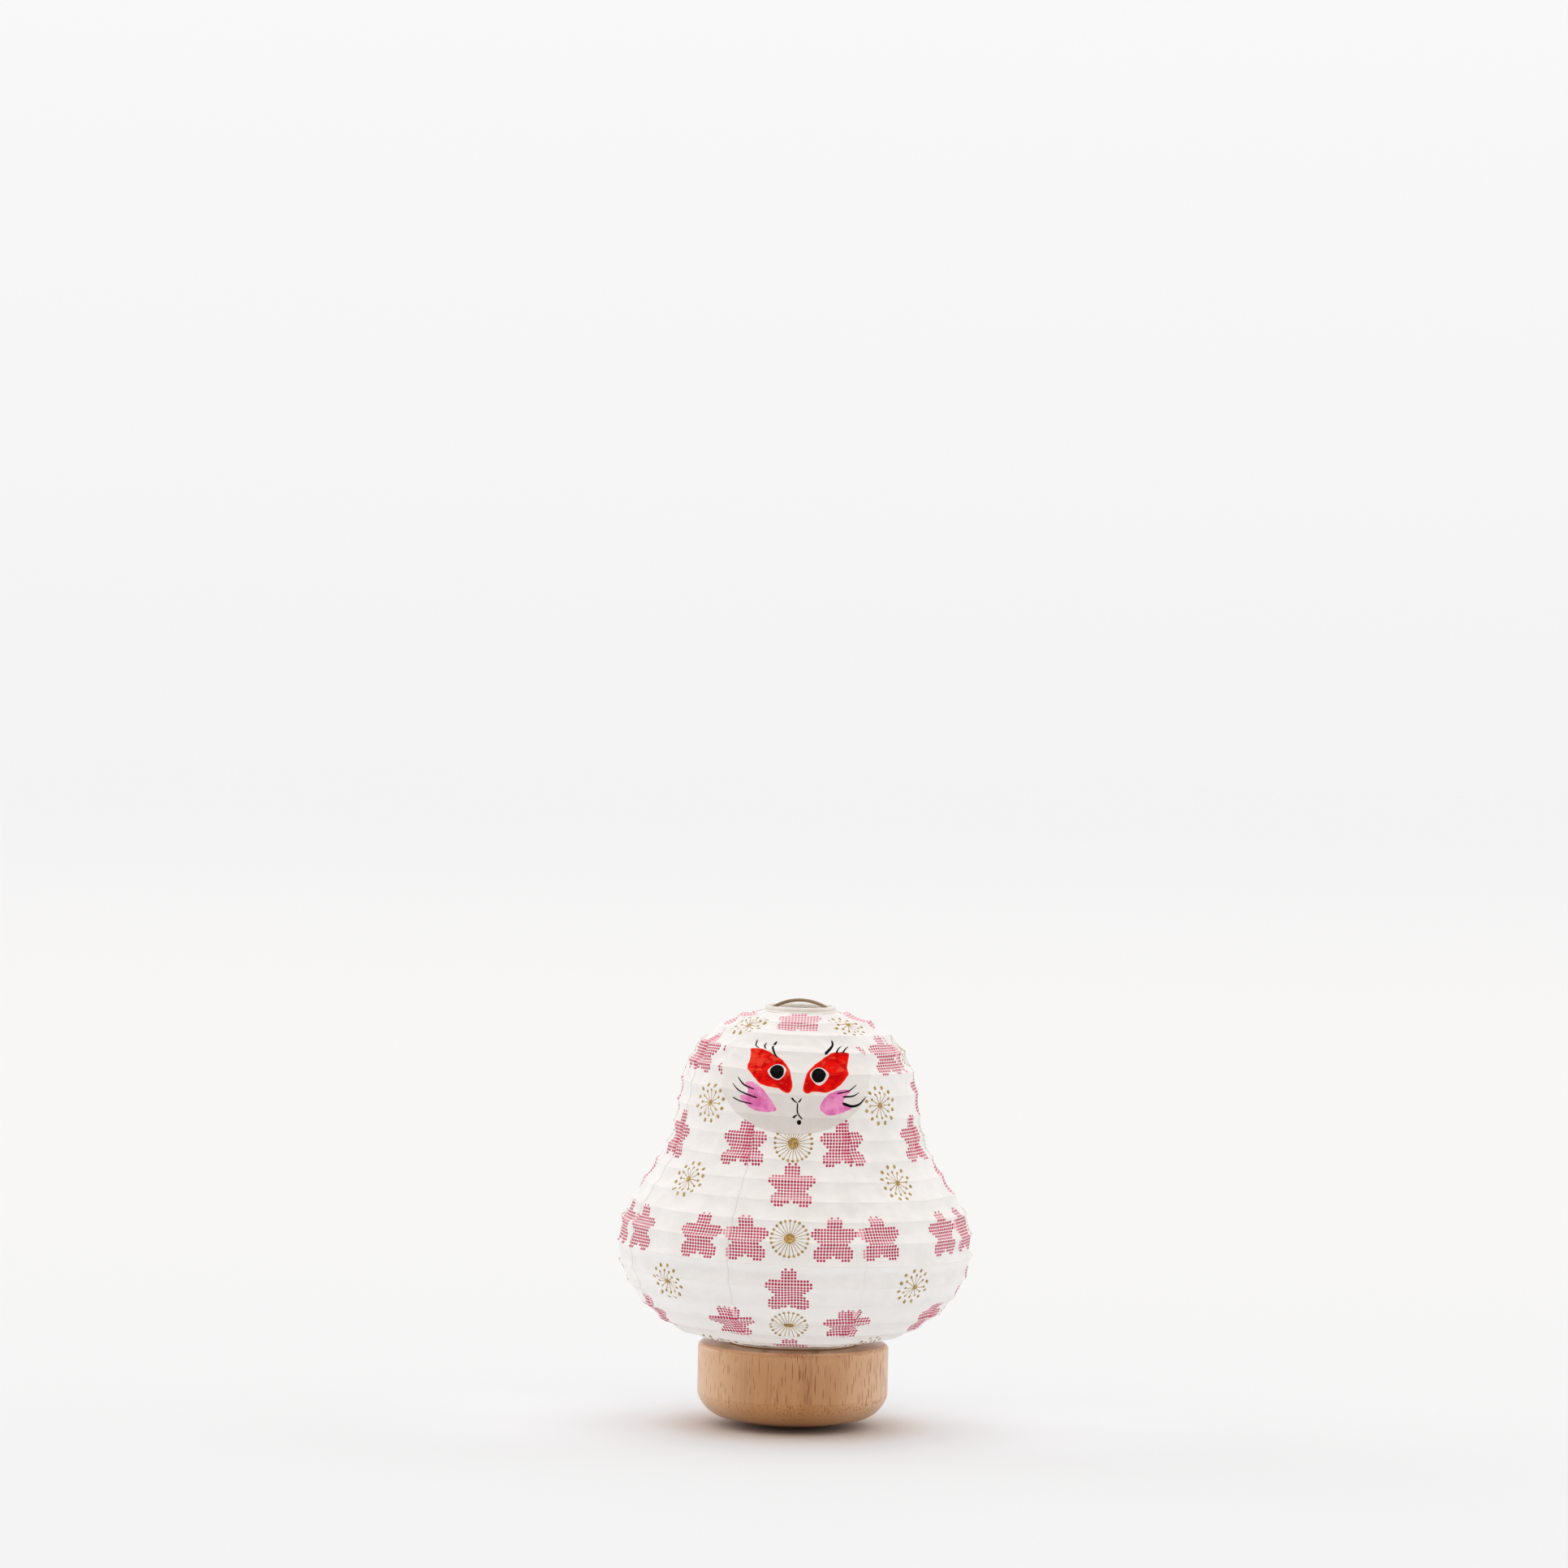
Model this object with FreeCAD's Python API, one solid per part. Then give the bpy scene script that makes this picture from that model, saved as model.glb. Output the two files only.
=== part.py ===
"""Paper lantern in daruma shape on a rounded, rocking wooden base with an LED module.

Millimetres, +Z up. The origin is where the base touches the floor. The painted face
looks towards -Y, and +X is to the right of someone who looks at the face.
"""

import FreeCAD
import Part
import math
import os

from FreeCAD import Vector

# ---------------------------------------------------------------- driving dimensions

# turned wooden base
BASE_RADIUS = 33.3
BASE_TOP_Z = 29.0
BASE_RIM_FILLET = 1.6
BASE_SIDE_LOW_Z = 11.5
BASE_DOME_RADIUS = 100.0
BASE_SPOT_RADIUS = 2.5
CAVITY_RADIUS = 21.5
CAVITY_FLOOR_Z = 6.0

# light module, stacked in the cavity of the base
WEIGHT_THICKNESS = 3.5
TRAY_RADIUS = 21.3
TRAY_FLOOR = 1.2
TRAY_HEIGHT = 6.5
CELL_RADIUS = 10.0
CELL_THICKNESS = 3.2
CELL_PLAY = 0.1
CELL_X = 10.4
CONTACT_THICKNESS = 0.3
BOARD_RADIUS = 20.4
BOARD_THICKNESS = 1.2
BOARD_Z = 21.4
COVER_THICKNESS = 2.0
COVER_RADIUS = 21.3
POST_RADIUS = 2.0
POST_CIRCLE = 17.4
SCREW_RADIUS = 0.95
SCREW_HEAD_RADIUS = 1.8
LED_RADIUS = 2.5
DIFFUSER_RADIUS = 6.5
DIFFUSER_WALL = 0.9
DIFFUSER_TOP_Z = 41.0
SWITCH_Y = -12.5
SWITCH_TRAVEL = 2.0

# wire bow that holds the lantern up
WIRE_RADIUS = 0.6
BOW_RADIUS = 17.7
BOW_TOP_Z = 149.5
BOW_FOOT_Z = 23.1
SOCKET_RADIUS = 1.7
SOCKET_PLAY = 0.03

# lantern of paper over a spiral rib
PAPER = 0.25
GORES = 8
RIB_RADIUS = 0.4
RIB_PITCH = 7.9
RIB_FIRST = 3.15
RIB_HALF_TURNS = 38
RIB_GAP = 0.25
THREAD = 0.2
THREAD_WIDTH = 0.5
PATCH_PAPER = 0.15
PATCH_GAP = 0.08
PATCH_HALF_WIDTH = 25.8
PATCH_TOP_Z = 141.4
PATCH_SHOULDER_Z = 123.0
PATCH_LOW_Z = 106.0
TOP_RING_RADIUS = 11.6
TOP_RING_Z = 146.35
BINDING_RADIUS = 0.72

# wire ring in the hem of the lantern
HEM_RADIUS = 22.6
HEM_TIE_RADIUS = 0.85
HEM_TIE_DEGREES = 7.0
CLIP_ANGLES = (45, 135, 225, 315)

# outer face of the paper as (radius, height), from the top ring down to the hem
PAPER_OUTLINE = [
    (12.4, 145.6), (19.2, 144.2), (27.3, 140.9), (33.5, 136.4), (38.3, 129.8),
    (41.2, 121.0), (42.6, 112.0), (44.6, 102.5), (49.0, 93.0), (55.6, 82.8),
    (60.6, 74.0), (62.5, 65.8), (61.5, 57.0), (57.2, 47.8), (50.0, 39.4),
    (42.0, 34.3), (33.2, 31.5), (22.9, 30.8),
]

UP = Vector(0, 0, 1)
BOARD_TOP_Z = BOARD_Z + BOARD_THICKNESS
COVER_Z = BASE_TOP_Z - COVER_THICKNESS
TRAY_Z = CAVITY_FLOOR_Z + WEIGHT_THICKNESS
CELL_Z = TRAY_Z + TRAY_FLOOR + CONTACT_THICKNESS
HEM_Z = BASE_TOP_Z + WIRE_RADIUS
POST_ANGLES = (45, 135, 225, 315)

os.makedirs("parts", exist_ok=True)


def save(name, shape):
    """Write one node and report its volume and validity."""
    shape.exportStep("parts/" + name + ".step")
    print(name, len(shape.Solids), round(shape.Volume, 2), shape.isValid())


# ---------------------------------------------------------------- small shape helpers

def disc(radius, z0, z1, x=0.0, y=0.0):
    """Upright cylinder between two heights."""
    return Part.makeCylinder(radius, z1 - z0, Vector(x, y, z0), UP)


def tube(outer, inner, z0, z1, x=0.0, y=0.0):
    """Upright pipe between two heights."""
    return disc(outer, z0, z1, x, y).cut(disc(inner, z0, z1, x, y))


def block(size_x, size_y, z0, z1, x=0.0, y=0.0):
    """Upright box with its middle at x, y."""
    corner = Vector(x - size_x / 2, y - size_y / 2, z0)
    return Part.makeBox(size_x, size_y, z1 - z0, corner)


def polar(radius, degrees, z=0.0):
    """Point at a radius and an angle about the Z axis."""
    turn = math.radians(degrees)
    return Vector(radius * math.cos(turn), radius * math.sin(turn), z)


def turned(shape, degrees):
    """Copy of a shape, turned about the Z axis."""
    copy = shape.copy()
    copy.rotate(Vector(0, 0, 0), UP, degrees)
    return copy


def joined(solids):
    """One solid from several that touch or overlap."""
    return solids[0].multiFuse(solids[1:]).removeSplitter()


def revolve(edges, degrees=360.0):
    """Solid from a closed outline in the XZ plane, swept about the Z axis."""
    face = Part.Face(Part.Wire(Part.__sortEdges__(edges)))
    return face.revolve(Vector(0, 0, 0), UP, degrees)


def line(a, b):
    """Straight edge between two (radius, height) points of the XZ plane."""
    return Part.makeLine(Vector(a[0], 0, a[1]), Vector(b[0], 0, b[1]))


def arc(a, mid, b):
    """Edge through three (radius, height) points of the XZ plane."""
    points = [Vector(p[0], 0, p[1]) for p in (a, mid, b)]
    return Part.Arc(*points).toShape()


# ---------------------------------------------------------------- turned wooden base

def dome_height(radius):
    """Height of the rounded underside at a radius, zero on the small flat spot."""
    full = BASE_DOME_RADIUS ** 2
    spot = math.sqrt(full - BASE_SPOT_RADIUS ** 2)
    return spot - math.sqrt(full - radius ** 2)


def wood_base():
    """Cup with a dome underside, a rolled corner, straight sides and a soft rim."""
    rim = BASE_RIM_FILLET
    soft = rim * (1 - math.sqrt(0.5))
    corner_in = BASE_RADIUS - 7.2
    low = dome_height(corner_in)
    corner_mid = (BASE_RADIUS - 1.95, low + 3.9)
    dome_mid = (corner_in / 2, dome_height(corner_in / 2))
    outline = [
        line((CAVITY_RADIUS, CAVITY_FLOOR_Z), (CAVITY_RADIUS, BASE_TOP_Z)),
        line((CAVITY_RADIUS, BASE_TOP_Z), (BASE_RADIUS - rim, BASE_TOP_Z)),
        arc((BASE_RADIUS - rim, BASE_TOP_Z), (BASE_RADIUS - soft, BASE_TOP_Z - soft),
            (BASE_RADIUS, BASE_TOP_Z - rim)),
        line((BASE_RADIUS, BASE_TOP_Z - rim), (BASE_RADIUS, BASE_SIDE_LOW_Z)),
        arc((BASE_RADIUS, BASE_SIDE_LOW_Z), corner_mid, (corner_in, low)),
        arc((corner_in, low), dome_mid, (BASE_SPOT_RADIUS, 0)),
        line((BASE_SPOT_RADIUS, 0), (0, 0)),
        line((0, 0), (0, CAVITY_FLOOR_Z)),
        line((0, CAVITY_FLOOR_Z), (CAVITY_RADIUS, CAVITY_FLOOR_Z)),
    ]
    pilot = disc(1.0, CAVITY_FLOOR_Z - 3.5, CAVITY_FLOOR_Z)
    return revolve(outline).cut(pilot)


# ---------------------------------------------------------------- light module

def counterweight():
    """Steel disc on the floor of the cavity, with a countersunk hole."""
    top = CAVITY_FLOOR_Z + WEIGHT_THICKNESS
    plate = disc(CAVITY_RADIUS - 0.4, CAVITY_FLOOR_Z, top)
    hole = disc(1.2, CAVITY_FLOOR_Z, top)
    sink = Part.makeCone(1.2, 2.6, 1.4, Vector(0, 0, top - 1.4), UP)
    return plate.cut(hole).cut(sink)


def weight_screw():
    """Wood screw that holds the counterweight down."""
    top = CAVITY_FLOOR_Z + WEIGHT_THICKNESS
    head = Part.makeCone(1.15, 2.5, 1.3, Vector(0, 0, top - 1.4), UP)
    shank = disc(1.0, CAVITY_FLOOR_Z - 3.0, top - 1.3)
    slot = block(4.0, 0.5, top - 0.6, top)
    return joined([head, shank]).cut(slot)


def cell_tray():
    """Tray with a pocket for each cell and four posts for the board."""
    tray = disc(TRAY_RADIUS, TRAY_Z, TRAY_Z + TRAY_HEIGHT)
    for side in (-1, 1):
        floor = TRAY_Z + TRAY_FLOOR
        tray = tray.cut(disc(CELL_RADIUS + CELL_PLAY, floor, BOARD_Z, side * CELL_X))
    posts = []
    for angle in POST_ANGLES:
        foot = polar(POST_CIRCLE, angle)
        post = disc(POST_RADIUS, TRAY_Z + TRAY_HEIGHT - 0.5, BOARD_Z, foot.x, foot.y)
        posts.append(post)
    tray = joined([tray] + posts)
    for angle in POST_ANGLES:
        foot = polar(POST_CIRCLE, angle)
        tray = tray.cut(disc(SCREW_RADIUS, BOARD_Z - 6.0, BOARD_Z, foot.x, foot.y))
    return tray


def coin_cell(side):
    """Coin cell: a can with a smaller, raised cap on its upper face."""
    x = side * CELL_X
    can = disc(CELL_RADIUS, CELL_Z, CELL_Z + CELL_THICKNESS - 0.4, x)
    can = can.makeFillet(0.5, can.Edges)
    cap = disc(CELL_RADIUS - 1.4, CELL_Z + CELL_THICKNESS - 0.5, CELL_Z + CELL_THICKNESS, x)
    return joined([can, cap])


def floor_contact(side):
    """Plate under a cell, in the floor of its pocket."""
    x = side * CELL_X
    return block(9.0, 6.0, TRAY_Z + TRAY_FLOOR, CELL_Z, x)


def bridge_contact():
    """Spring strip above both cells that dips down to touch each cap."""
    low = CELL_Z + CELL_THICKNESS
    high = TRAY_Z + TRAY_HEIGHT
    strip = block(30.0, 4.0, high, high + CONTACT_THICKNESS)
    pieces = [strip]
    for side in (-1, 1):
        x = side * CELL_X
        pieces.append(block(5.0, 4.0, low, high, x))
    return joined(pieces)


def circuit_board():
    """Round board, drilled for the screws and notched for the bow sockets."""
    board = disc(BOARD_RADIUS, BOARD_Z, BOARD_TOP_Z)
    for angle in POST_ANGLES:
        hole = polar(POST_CIRCLE, angle)
        board = board.cut(disc(SCREW_RADIUS + 0.15, BOARD_Z, BOARD_TOP_Z, hole.x, hole.y))
    for side in (-1, 1):
        board = board.cut(disc(0.35, BOARD_Z, BOARD_TOP_Z, side * 1.27))
    return board


def led_lamp():
    """Round LED with a flange and a dome, standing on the board."""
    flange = disc(LED_RADIUS + 0.4, BOARD_TOP_Z, BOARD_TOP_Z + 1.0)
    body = disc(LED_RADIUS, BOARD_TOP_Z, BOARD_TOP_Z + 6.1)
    dome = Part.makeSphere(LED_RADIUS, Vector(0, 0, BOARD_TOP_Z + 6.1))
    return joined([flange, body, dome])


def led_legs():
    """Two wire legs below the LED, through the board."""
    legs = []
    for side in (-1, 1):
        legs.append(disc(0.25, BOARD_Z - 1.2, BOARD_TOP_Z, side * 1.27))
    return Part.makeCompound(legs)


def control_chip():
    """Small flicker controller on the board."""
    body = block(4.9, 3.9, BOARD_TOP_Z, BOARD_TOP_Z + 1.6, -9.0, -6.0)
    return body.makeFillet(0.2, body.Edges)


def resistors():
    """Two small chip resistors beside the controller."""
    made = []
    for offset in (0.0, 3.0):
        made.append(block(2.0, 1.2, BOARD_TOP_Z, BOARD_TOP_Z + 0.6, -9.0, offset))
    return Part.makeCompound(made)


def switch_body():
    """Metal shell of the slide switch, open above for its knob."""
    shell = block(8.6, 3.8, BOARD_TOP_Z, BOARD_TOP_Z + 3.6, 0.0, SWITCH_Y)
    well = block(6.6, 2.2, BOARD_TOP_Z + 1.0, BOARD_TOP_Z + 3.6, 0.0, SWITCH_Y)
    return shell.cut(well)


def switch_knob():
    """Slider of the switch, at the off end of its travel, poking out of the cover."""
    x = -SWITCH_TRAVEL / 2
    slider = block(4.0, 2.0, BOARD_TOP_Z + 1.1, BOARD_TOP_Z + 3.4, x, SWITCH_Y)
    stem = block(2.0, 1.6, BOARD_TOP_Z + 3.3, BASE_TOP_Z + 0.9, x, SWITCH_Y)
    return joined([slider, stem])


def module_cover():
    """Lid of the module, flush with the wood, with holes for bow, LED and switch."""
    cover = disc(COVER_RADIUS, COVER_Z, BASE_TOP_Z)
    parts = [cover]
    for angle in POST_ANGLES:
        foot = polar(POST_CIRCLE, angle)
        parts.append(disc(POST_RADIUS, BOARD_TOP_Z, COVER_Z + 0.5, foot.x, foot.y))
    cover = joined(parts)
    for angle in POST_ANGLES:
        foot = polar(POST_CIRCLE, angle)
        bore = disc(SCREW_RADIUS + 0.15, BOARD_TOP_Z, BASE_TOP_Z, foot.x, foot.y)
        head = disc(SCREW_HEAD_RADIUS + 0.15, BASE_TOP_Z - 1.2, BASE_TOP_Z, foot.x, foot.y)
        cover = cover.cut(bore).cut(head)
    cover = cover.cut(disc(LED_RADIUS + 0.15, COVER_Z, BASE_TOP_Z))
    slot_x = SWITCH_TRAVEL + 2.0 + 0.6
    cover = cover.cut(block(slot_x, 2.2, COVER_Z, BASE_TOP_Z, 0.0, SWITCH_Y))
    for side in (-1, 1):
        cover = cover.cut(disc(SOCKET_RADIUS, COVER_Z, BASE_TOP_Z, side * BOW_RADIUS))
    return cover


def cover_screws():
    """Four screws through the lid and the board into the posts of the tray."""
    screws = []
    for angle in POST_ANGLES:
        at = polar(POST_CIRCLE, angle)
        head = disc(SCREW_HEAD_RADIUS, BASE_TOP_Z - 1.2, BASE_TOP_Z - 0.1, at.x, at.y)
        shank = disc(SCREW_RADIUS, BOARD_Z - 5.0, BASE_TOP_Z - 1.1, at.x, at.y)
        cross_a = block(1.8, 0.4, BASE_TOP_Z - 0.7, BASE_TOP_Z, at.x, at.y)
        cross_b = block(0.4, 1.8, BASE_TOP_Z - 0.7, BASE_TOP_Z, at.x, at.y)
        screws.append(joined([head, shank]).cut(cross_a).cut(cross_b))
    return Part.makeCompound(screws)


def bow_sockets():
    """Two blind metal sockets in the lid that take the feet of the bow."""
    sockets = []
    for side in (-1, 1):
        x = side * BOW_RADIUS
        low = BOARD_TOP_Z
        cup = disc(SOCKET_RADIUS, low, BASE_TOP_Z, x)
        collar = tube(SOCKET_RADIUS + 0.8, WIRE_RADIUS + SOCKET_PLAY, BASE_TOP_Z, BASE_TOP_Z + 0.6, x)
        bore = disc(WIRE_RADIUS + SOCKET_PLAY, BOW_FOOT_Z, BASE_TOP_Z, x)
        sockets.append(joined([cup.cut(bore), collar]))
    return Part.makeCompound(sockets)


def led_diffuser():
    """Frosted cap over the LED: a short wall with a round top and a foot flange."""
    inner = DIFFUSER_RADIUS - DIFFUSER_WALL
    crown = DIFFUSER_TOP_Z - DIFFUSER_RADIUS
    centre = Vector(0, 0, crown)
    outside = joined([disc(DIFFUSER_RADIUS, BASE_TOP_Z, crown),
                      Part.makeSphere(DIFFUSER_RADIUS, centre, UP, 0, 90, 360),
                      disc(DIFFUSER_RADIUS + 1.2, BASE_TOP_Z, BASE_TOP_Z + 0.8)])
    inside = joined([disc(inner, BASE_TOP_Z, crown),
                     Part.makeSphere(inner, centre, UP, 0, 90, 360)])
    return outside.cut(inside)


def hem_clips():
    """Four spring fingers on the lid that press outwards inside the hem ring."""
    clips = []
    finger_out = HEM_RADIUS - WIRE_RADIUS - 0.55
    foot = block(2.3, 4.0, BASE_TOP_Z, BASE_TOP_Z + 0.3, finger_out - 1.15)
    finger = block(0.3, 4.0, BASE_TOP_Z, BASE_TOP_Z + 3.0, finger_out - 0.15)
    bead = Part.makeCylinder(0.5, 3.0, Vector(finger_out, -1.5, HEM_Z), Vector(0, 1, 0))
    inward = block(2.0, 4.0, BASE_TOP_Z, BASE_TOP_Z + 3.0, finger_out - 1.3)
    clip = joined([foot, finger, bead.cut(inward)])
    for angle in CLIP_ANGLES:
        clips.append(turned(clip, angle))
    return Part.makeCompound(clips)


# ---------------------------------------------------------------- wire bow

def wire_bow():
    """Wire bent to a tall arch in the XZ plane, its two feet in the sockets."""
    arch_z = BOW_TOP_Z - WIRE_RADIUS - BOW_RADIUS
    route = [
        line((-BOW_RADIUS, BOW_FOOT_Z), (-BOW_RADIUS, arch_z)),
        arc((-BOW_RADIUS, arch_z), (0, arch_z + BOW_RADIUS), (BOW_RADIUS, arch_z)),
        line((BOW_RADIUS, arch_z), (BOW_RADIUS, BOW_FOOT_Z)),
    ]
    section = Part.makeCircle(WIRE_RADIUS, Vector(-BOW_RADIUS, 0, BOW_FOOT_Z), UP)
    return Part.Wire(route).makePipeShell([Part.Wire(section)], True, False)


# ---------------------------------------------------------------- lantern paper

def outline_curve():
    """Smooth curve through the points of the paper's outer face."""
    curve = Part.BSplineCurve()
    curve.interpolate([Vector(r, 0, z) for r, z in PAPER_OUTLINE])
    return curve


OUTLINE = outline_curve()
OUTLINE_EDGE = OUTLINE.toShape()
OUTLINE_STEPS = 48


def outline_point(share, inwards):
    """Point at a share of the outline's length, moved inwards from the outer face."""
    at = OUTLINE.parameterAtDistance(share * OUTLINE_EDGE.Length, OUTLINE.FirstParameter)
    point = OUTLINE.value(at)
    along = OUTLINE.tangent(at)[0]
    return point + Vector(along.z, 0, -along.x) * inwards


def offset_edge(inwards, first=0.0, last=1.0):
    """Curve that follows the paper's outline at a distance inside its outer face."""
    steps = int(OUTLINE_STEPS * (last - first)) + 2
    points = []
    for step in range(steps + 1):
        share = first + (last - first) * step / steps
        points.append(outline_point(share, inwards))
    curve = Part.BSplineCurve()
    curve.interpolate(points)
    return curve.toShape()


def paper_band(outer, inner, degrees, middle, first=0.0, last=1.0):
    """Curved sheet between two depths in the paper, centred on an angle about Z."""
    face_out = offset_edge(outer, first, last)
    face_in = offset_edge(inner, first, last)
    ends = [Part.makeLine(face_out.Vertexes[n].Point, face_in.Vertexes[n].Point) for n in (0, 1)]
    band = revolve([face_out, face_in] + ends, degrees)
    return turned(band, middle - degrees / 2)


def paper_gore(number):
    """One of the eight gores of paper. Their seams lie either side of the face."""
    wide = 360.0 / GORES
    return paper_band(0.0, PAPER, wide, -90.0 + wide * number)


def face_patch():
    """Second sheet pasted over the front, straight above and round below."""
    outer = -PATCH_GAP - PATCH_PAPER
    band = paper_band(outer, -PATCH_GAP, 100.0, -90.0, 0.02, 0.5)
    half = PATCH_HALF_WIDTH
    reach = 1.2 * max(radius for radius, height in PAPER_OUTLINE)
    middle = Vector(0, -reach, PATCH_SHOULDER_Z)
    oval = Part.Ellipse(middle, half, PATCH_SHOULDER_Z - PATCH_LOW_Z).toShape()
    oval.rotate(middle, Vector(1, 0, 0), 90)
    round_part = Part.Face(Part.Wire(oval)).extrude(Vector(0, reach, 0))
    tall = Part.makeBox(2 * half, reach, PATCH_TOP_Z - PATCH_SHOULDER_Z,
                        Vector(-half, -reach, PATCH_SHOULDER_Z))
    return band.common(joined([round_part, tall]))


# ---------------------------------------------------------------- ribs and rings

def rib_station(number):
    """Point of the rib on the left (even) or right (odd) side, and its side."""
    share = (RIB_FIRST + RIB_PITCH / 2 * number) / OUTLINE_EDGE.Length
    point = outline_point(share, PAPER + RIB_GAP + RIB_RADIUS)
    side = 1 if number % 2 == 0 else -1
    return Vector(side * point.x, 0, point.z)


def spiral_rib():
    """One wire from ring to hem: half turns with shared tangents, tilted to descend."""
    halves = []
    for number in range(RIB_HALF_TURNS):
        start = rib_station(number)
        stop = rib_station(number + 1)
        middle = (start + stop) / 2
        normal = (stop - start).cross(Vector(0, 1, 0))
        if normal.z < 0:
            normal = normal * -1
        section = Part.Face(Part.Wire(Part.makeCircle(RIB_RADIUS, start, Vector(0, 1, 0))))
        halves.append(section.revolve(middle, normal, 180))
    return joined(halves)


def rib_threads():
    """Eight fine threads that run down inside the rib and keep its turns apart."""
    depth = PAPER + 2 * RIB_GAP + 2 * RIB_RADIUS
    threads = []
    for number in range(GORES):
        angle = -90.0 + 360.0 / GORES * number
        degrees = math.degrees(THREAD_WIDTH / 45.0)
        threads.append(paper_band(depth, depth + THREAD, degrees, angle, 0.03, 0.97))
    return Part.makeCompound(threads)


def top_ring():
    """Wire ring in the mouth of the lantern."""
    return Part.makeTorus(TOP_RING_RADIUS, WIRE_RADIUS, Vector(0, 0, TOP_RING_Z), UP)


def top_binding():
    """Paper strip wound round the top ring, open where the gores meet it."""
    middle = Vector(0, 0, TOP_RING_Z)
    outside = Part.makeTorus(TOP_RING_RADIUS, BINDING_RADIUS, middle, UP)
    inside = Part.makeTorus(TOP_RING_RADIUS, WIRE_RADIUS + 0.03, middle, UP)
    return outside.cut(inside)


def hem_ring():
    """Wire ring that lies on the top of the base."""
    return Part.makeTorus(HEM_RADIUS, WIRE_RADIUS, Vector(0, 0, HEM_Z), UP)


def hem_ties():
    """Eight paper tabs folded over the top of the hem ring, one at each seam."""
    inner = WIRE_RADIUS + 0.02
    outer = HEM_TIE_RADIUS
    outline = [
        arc((HEM_RADIUS - outer, HEM_Z), (HEM_RADIUS, HEM_Z + outer), (HEM_RADIUS + outer, HEM_Z)),
        arc((HEM_RADIUS - inner, HEM_Z), (HEM_RADIUS, HEM_Z + inner), (HEM_RADIUS + inner, HEM_Z)),
        line((HEM_RADIUS - outer, HEM_Z), (HEM_RADIUS - inner, HEM_Z)),
        line((HEM_RADIUS + inner, HEM_Z), (HEM_RADIUS + outer, HEM_Z)),
    ]
    tab = revolve(outline, HEM_TIE_DEGREES)
    step = 360.0 / GORES
    ties = []
    for number in range(GORES):
        ties.append(turned(tab, step * (number + 0.5) - HEM_TIE_DEGREES / 2))
    return Part.makeCompound(ties)


# ---------------------------------------------------------------- all nodes

save("wood_base", wood_base())
save("counterweight", counterweight())
save("weight_screw", weight_screw())
save("cell_tray", cell_tray())
for cell_number, cell_side in ((1, -1), (2, 1)):
    save("coin_cell_%d" % cell_number, coin_cell(cell_side))
    save("floor_contact_%d" % cell_number, floor_contact(cell_side))
save("bridge_contact", bridge_contact())
save("circuit_board", circuit_board())
save("led_lamp", led_lamp())
save("led_legs", led_legs())
save("control_chip", control_chip())
save("resistors", resistors())
save("switch_body", switch_body())
save("switch_knob", switch_knob())
save("module_cover", module_cover())
save("cover_screws", cover_screws())
save("bow_sockets", bow_sockets())
save("led_diffuser", led_diffuser())
save("hem_clips", hem_clips())
save("wire_bow", wire_bow())
for gore in range(GORES):
    save("paper_gore_%d" % (gore + 1), paper_gore(gore))
save("face_patch", face_patch())
save("spiral_rib", spiral_rib())
save("rib_threads", rib_threads())
save("top_ring", top_ring())
save("top_binding", top_binding())
save("hem_ring", hem_ring())
save("hem_ties", hem_ties())
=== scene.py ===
"""Looks of a paper lantern in daruma shape on a rounded wooden base.

The lantern's paper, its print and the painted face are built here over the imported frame.
Sizes below are millimetres in the frame's axes: +Z up, the face towards -Y, the origin
where the base touches the floor. Meshes are scaled to metres when they are made.
"""

import math

import bpy
import numpy as np
from mathutils import Matrix


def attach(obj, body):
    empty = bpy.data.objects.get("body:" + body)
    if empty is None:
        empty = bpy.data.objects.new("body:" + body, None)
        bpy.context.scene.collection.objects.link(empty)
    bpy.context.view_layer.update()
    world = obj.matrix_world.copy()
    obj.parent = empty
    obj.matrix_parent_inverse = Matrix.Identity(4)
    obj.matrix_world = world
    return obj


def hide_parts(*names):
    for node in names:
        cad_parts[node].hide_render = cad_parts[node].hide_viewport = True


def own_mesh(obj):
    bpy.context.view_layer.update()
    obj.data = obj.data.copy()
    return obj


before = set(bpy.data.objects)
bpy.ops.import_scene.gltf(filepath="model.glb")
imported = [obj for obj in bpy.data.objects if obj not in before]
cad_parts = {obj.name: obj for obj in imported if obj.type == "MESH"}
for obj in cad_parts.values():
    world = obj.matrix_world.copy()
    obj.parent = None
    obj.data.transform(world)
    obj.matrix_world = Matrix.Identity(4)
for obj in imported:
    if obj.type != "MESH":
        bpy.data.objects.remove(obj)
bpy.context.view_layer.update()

MM = 0.001
TAU = 2 * math.pi

# ---- sizes of the lantern

# outer face of the paper as (radius, height), from the top ring down to the hem
PAPER_OUTLINE = [
    (12.4, 145.6), (19.2, 144.2), (27.3, 140.9), (33.5, 136.4), (38.3, 129.8),
    (41.2, 121.0), (42.6, 112.0), (44.6, 102.5), (49.0, 93.0), (55.6, 82.8),
    (60.6, 74.0), (62.5, 65.8), (61.5, 57.0), (57.2, 47.8), (50.0, 39.4),
    (42.0, 34.3), (33.2, 31.5), (22.9, 30.8),
]
PAPER = 0.09  # thickness of a gore
SURFACE_DEPTH = 0.25  # the relief is kept inside the outline by this much
GORES = 8
GORE_ANGLE = TAU / GORES
FRONT = -TAU / 4
LAP = 3.0  # each gore is pasted over the next by this width
LAP_STEP = 0.105  # how far the lap lies above the paper
LAP_RISE = 1.0  # width over which a sheet climbs on to a lap

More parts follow.
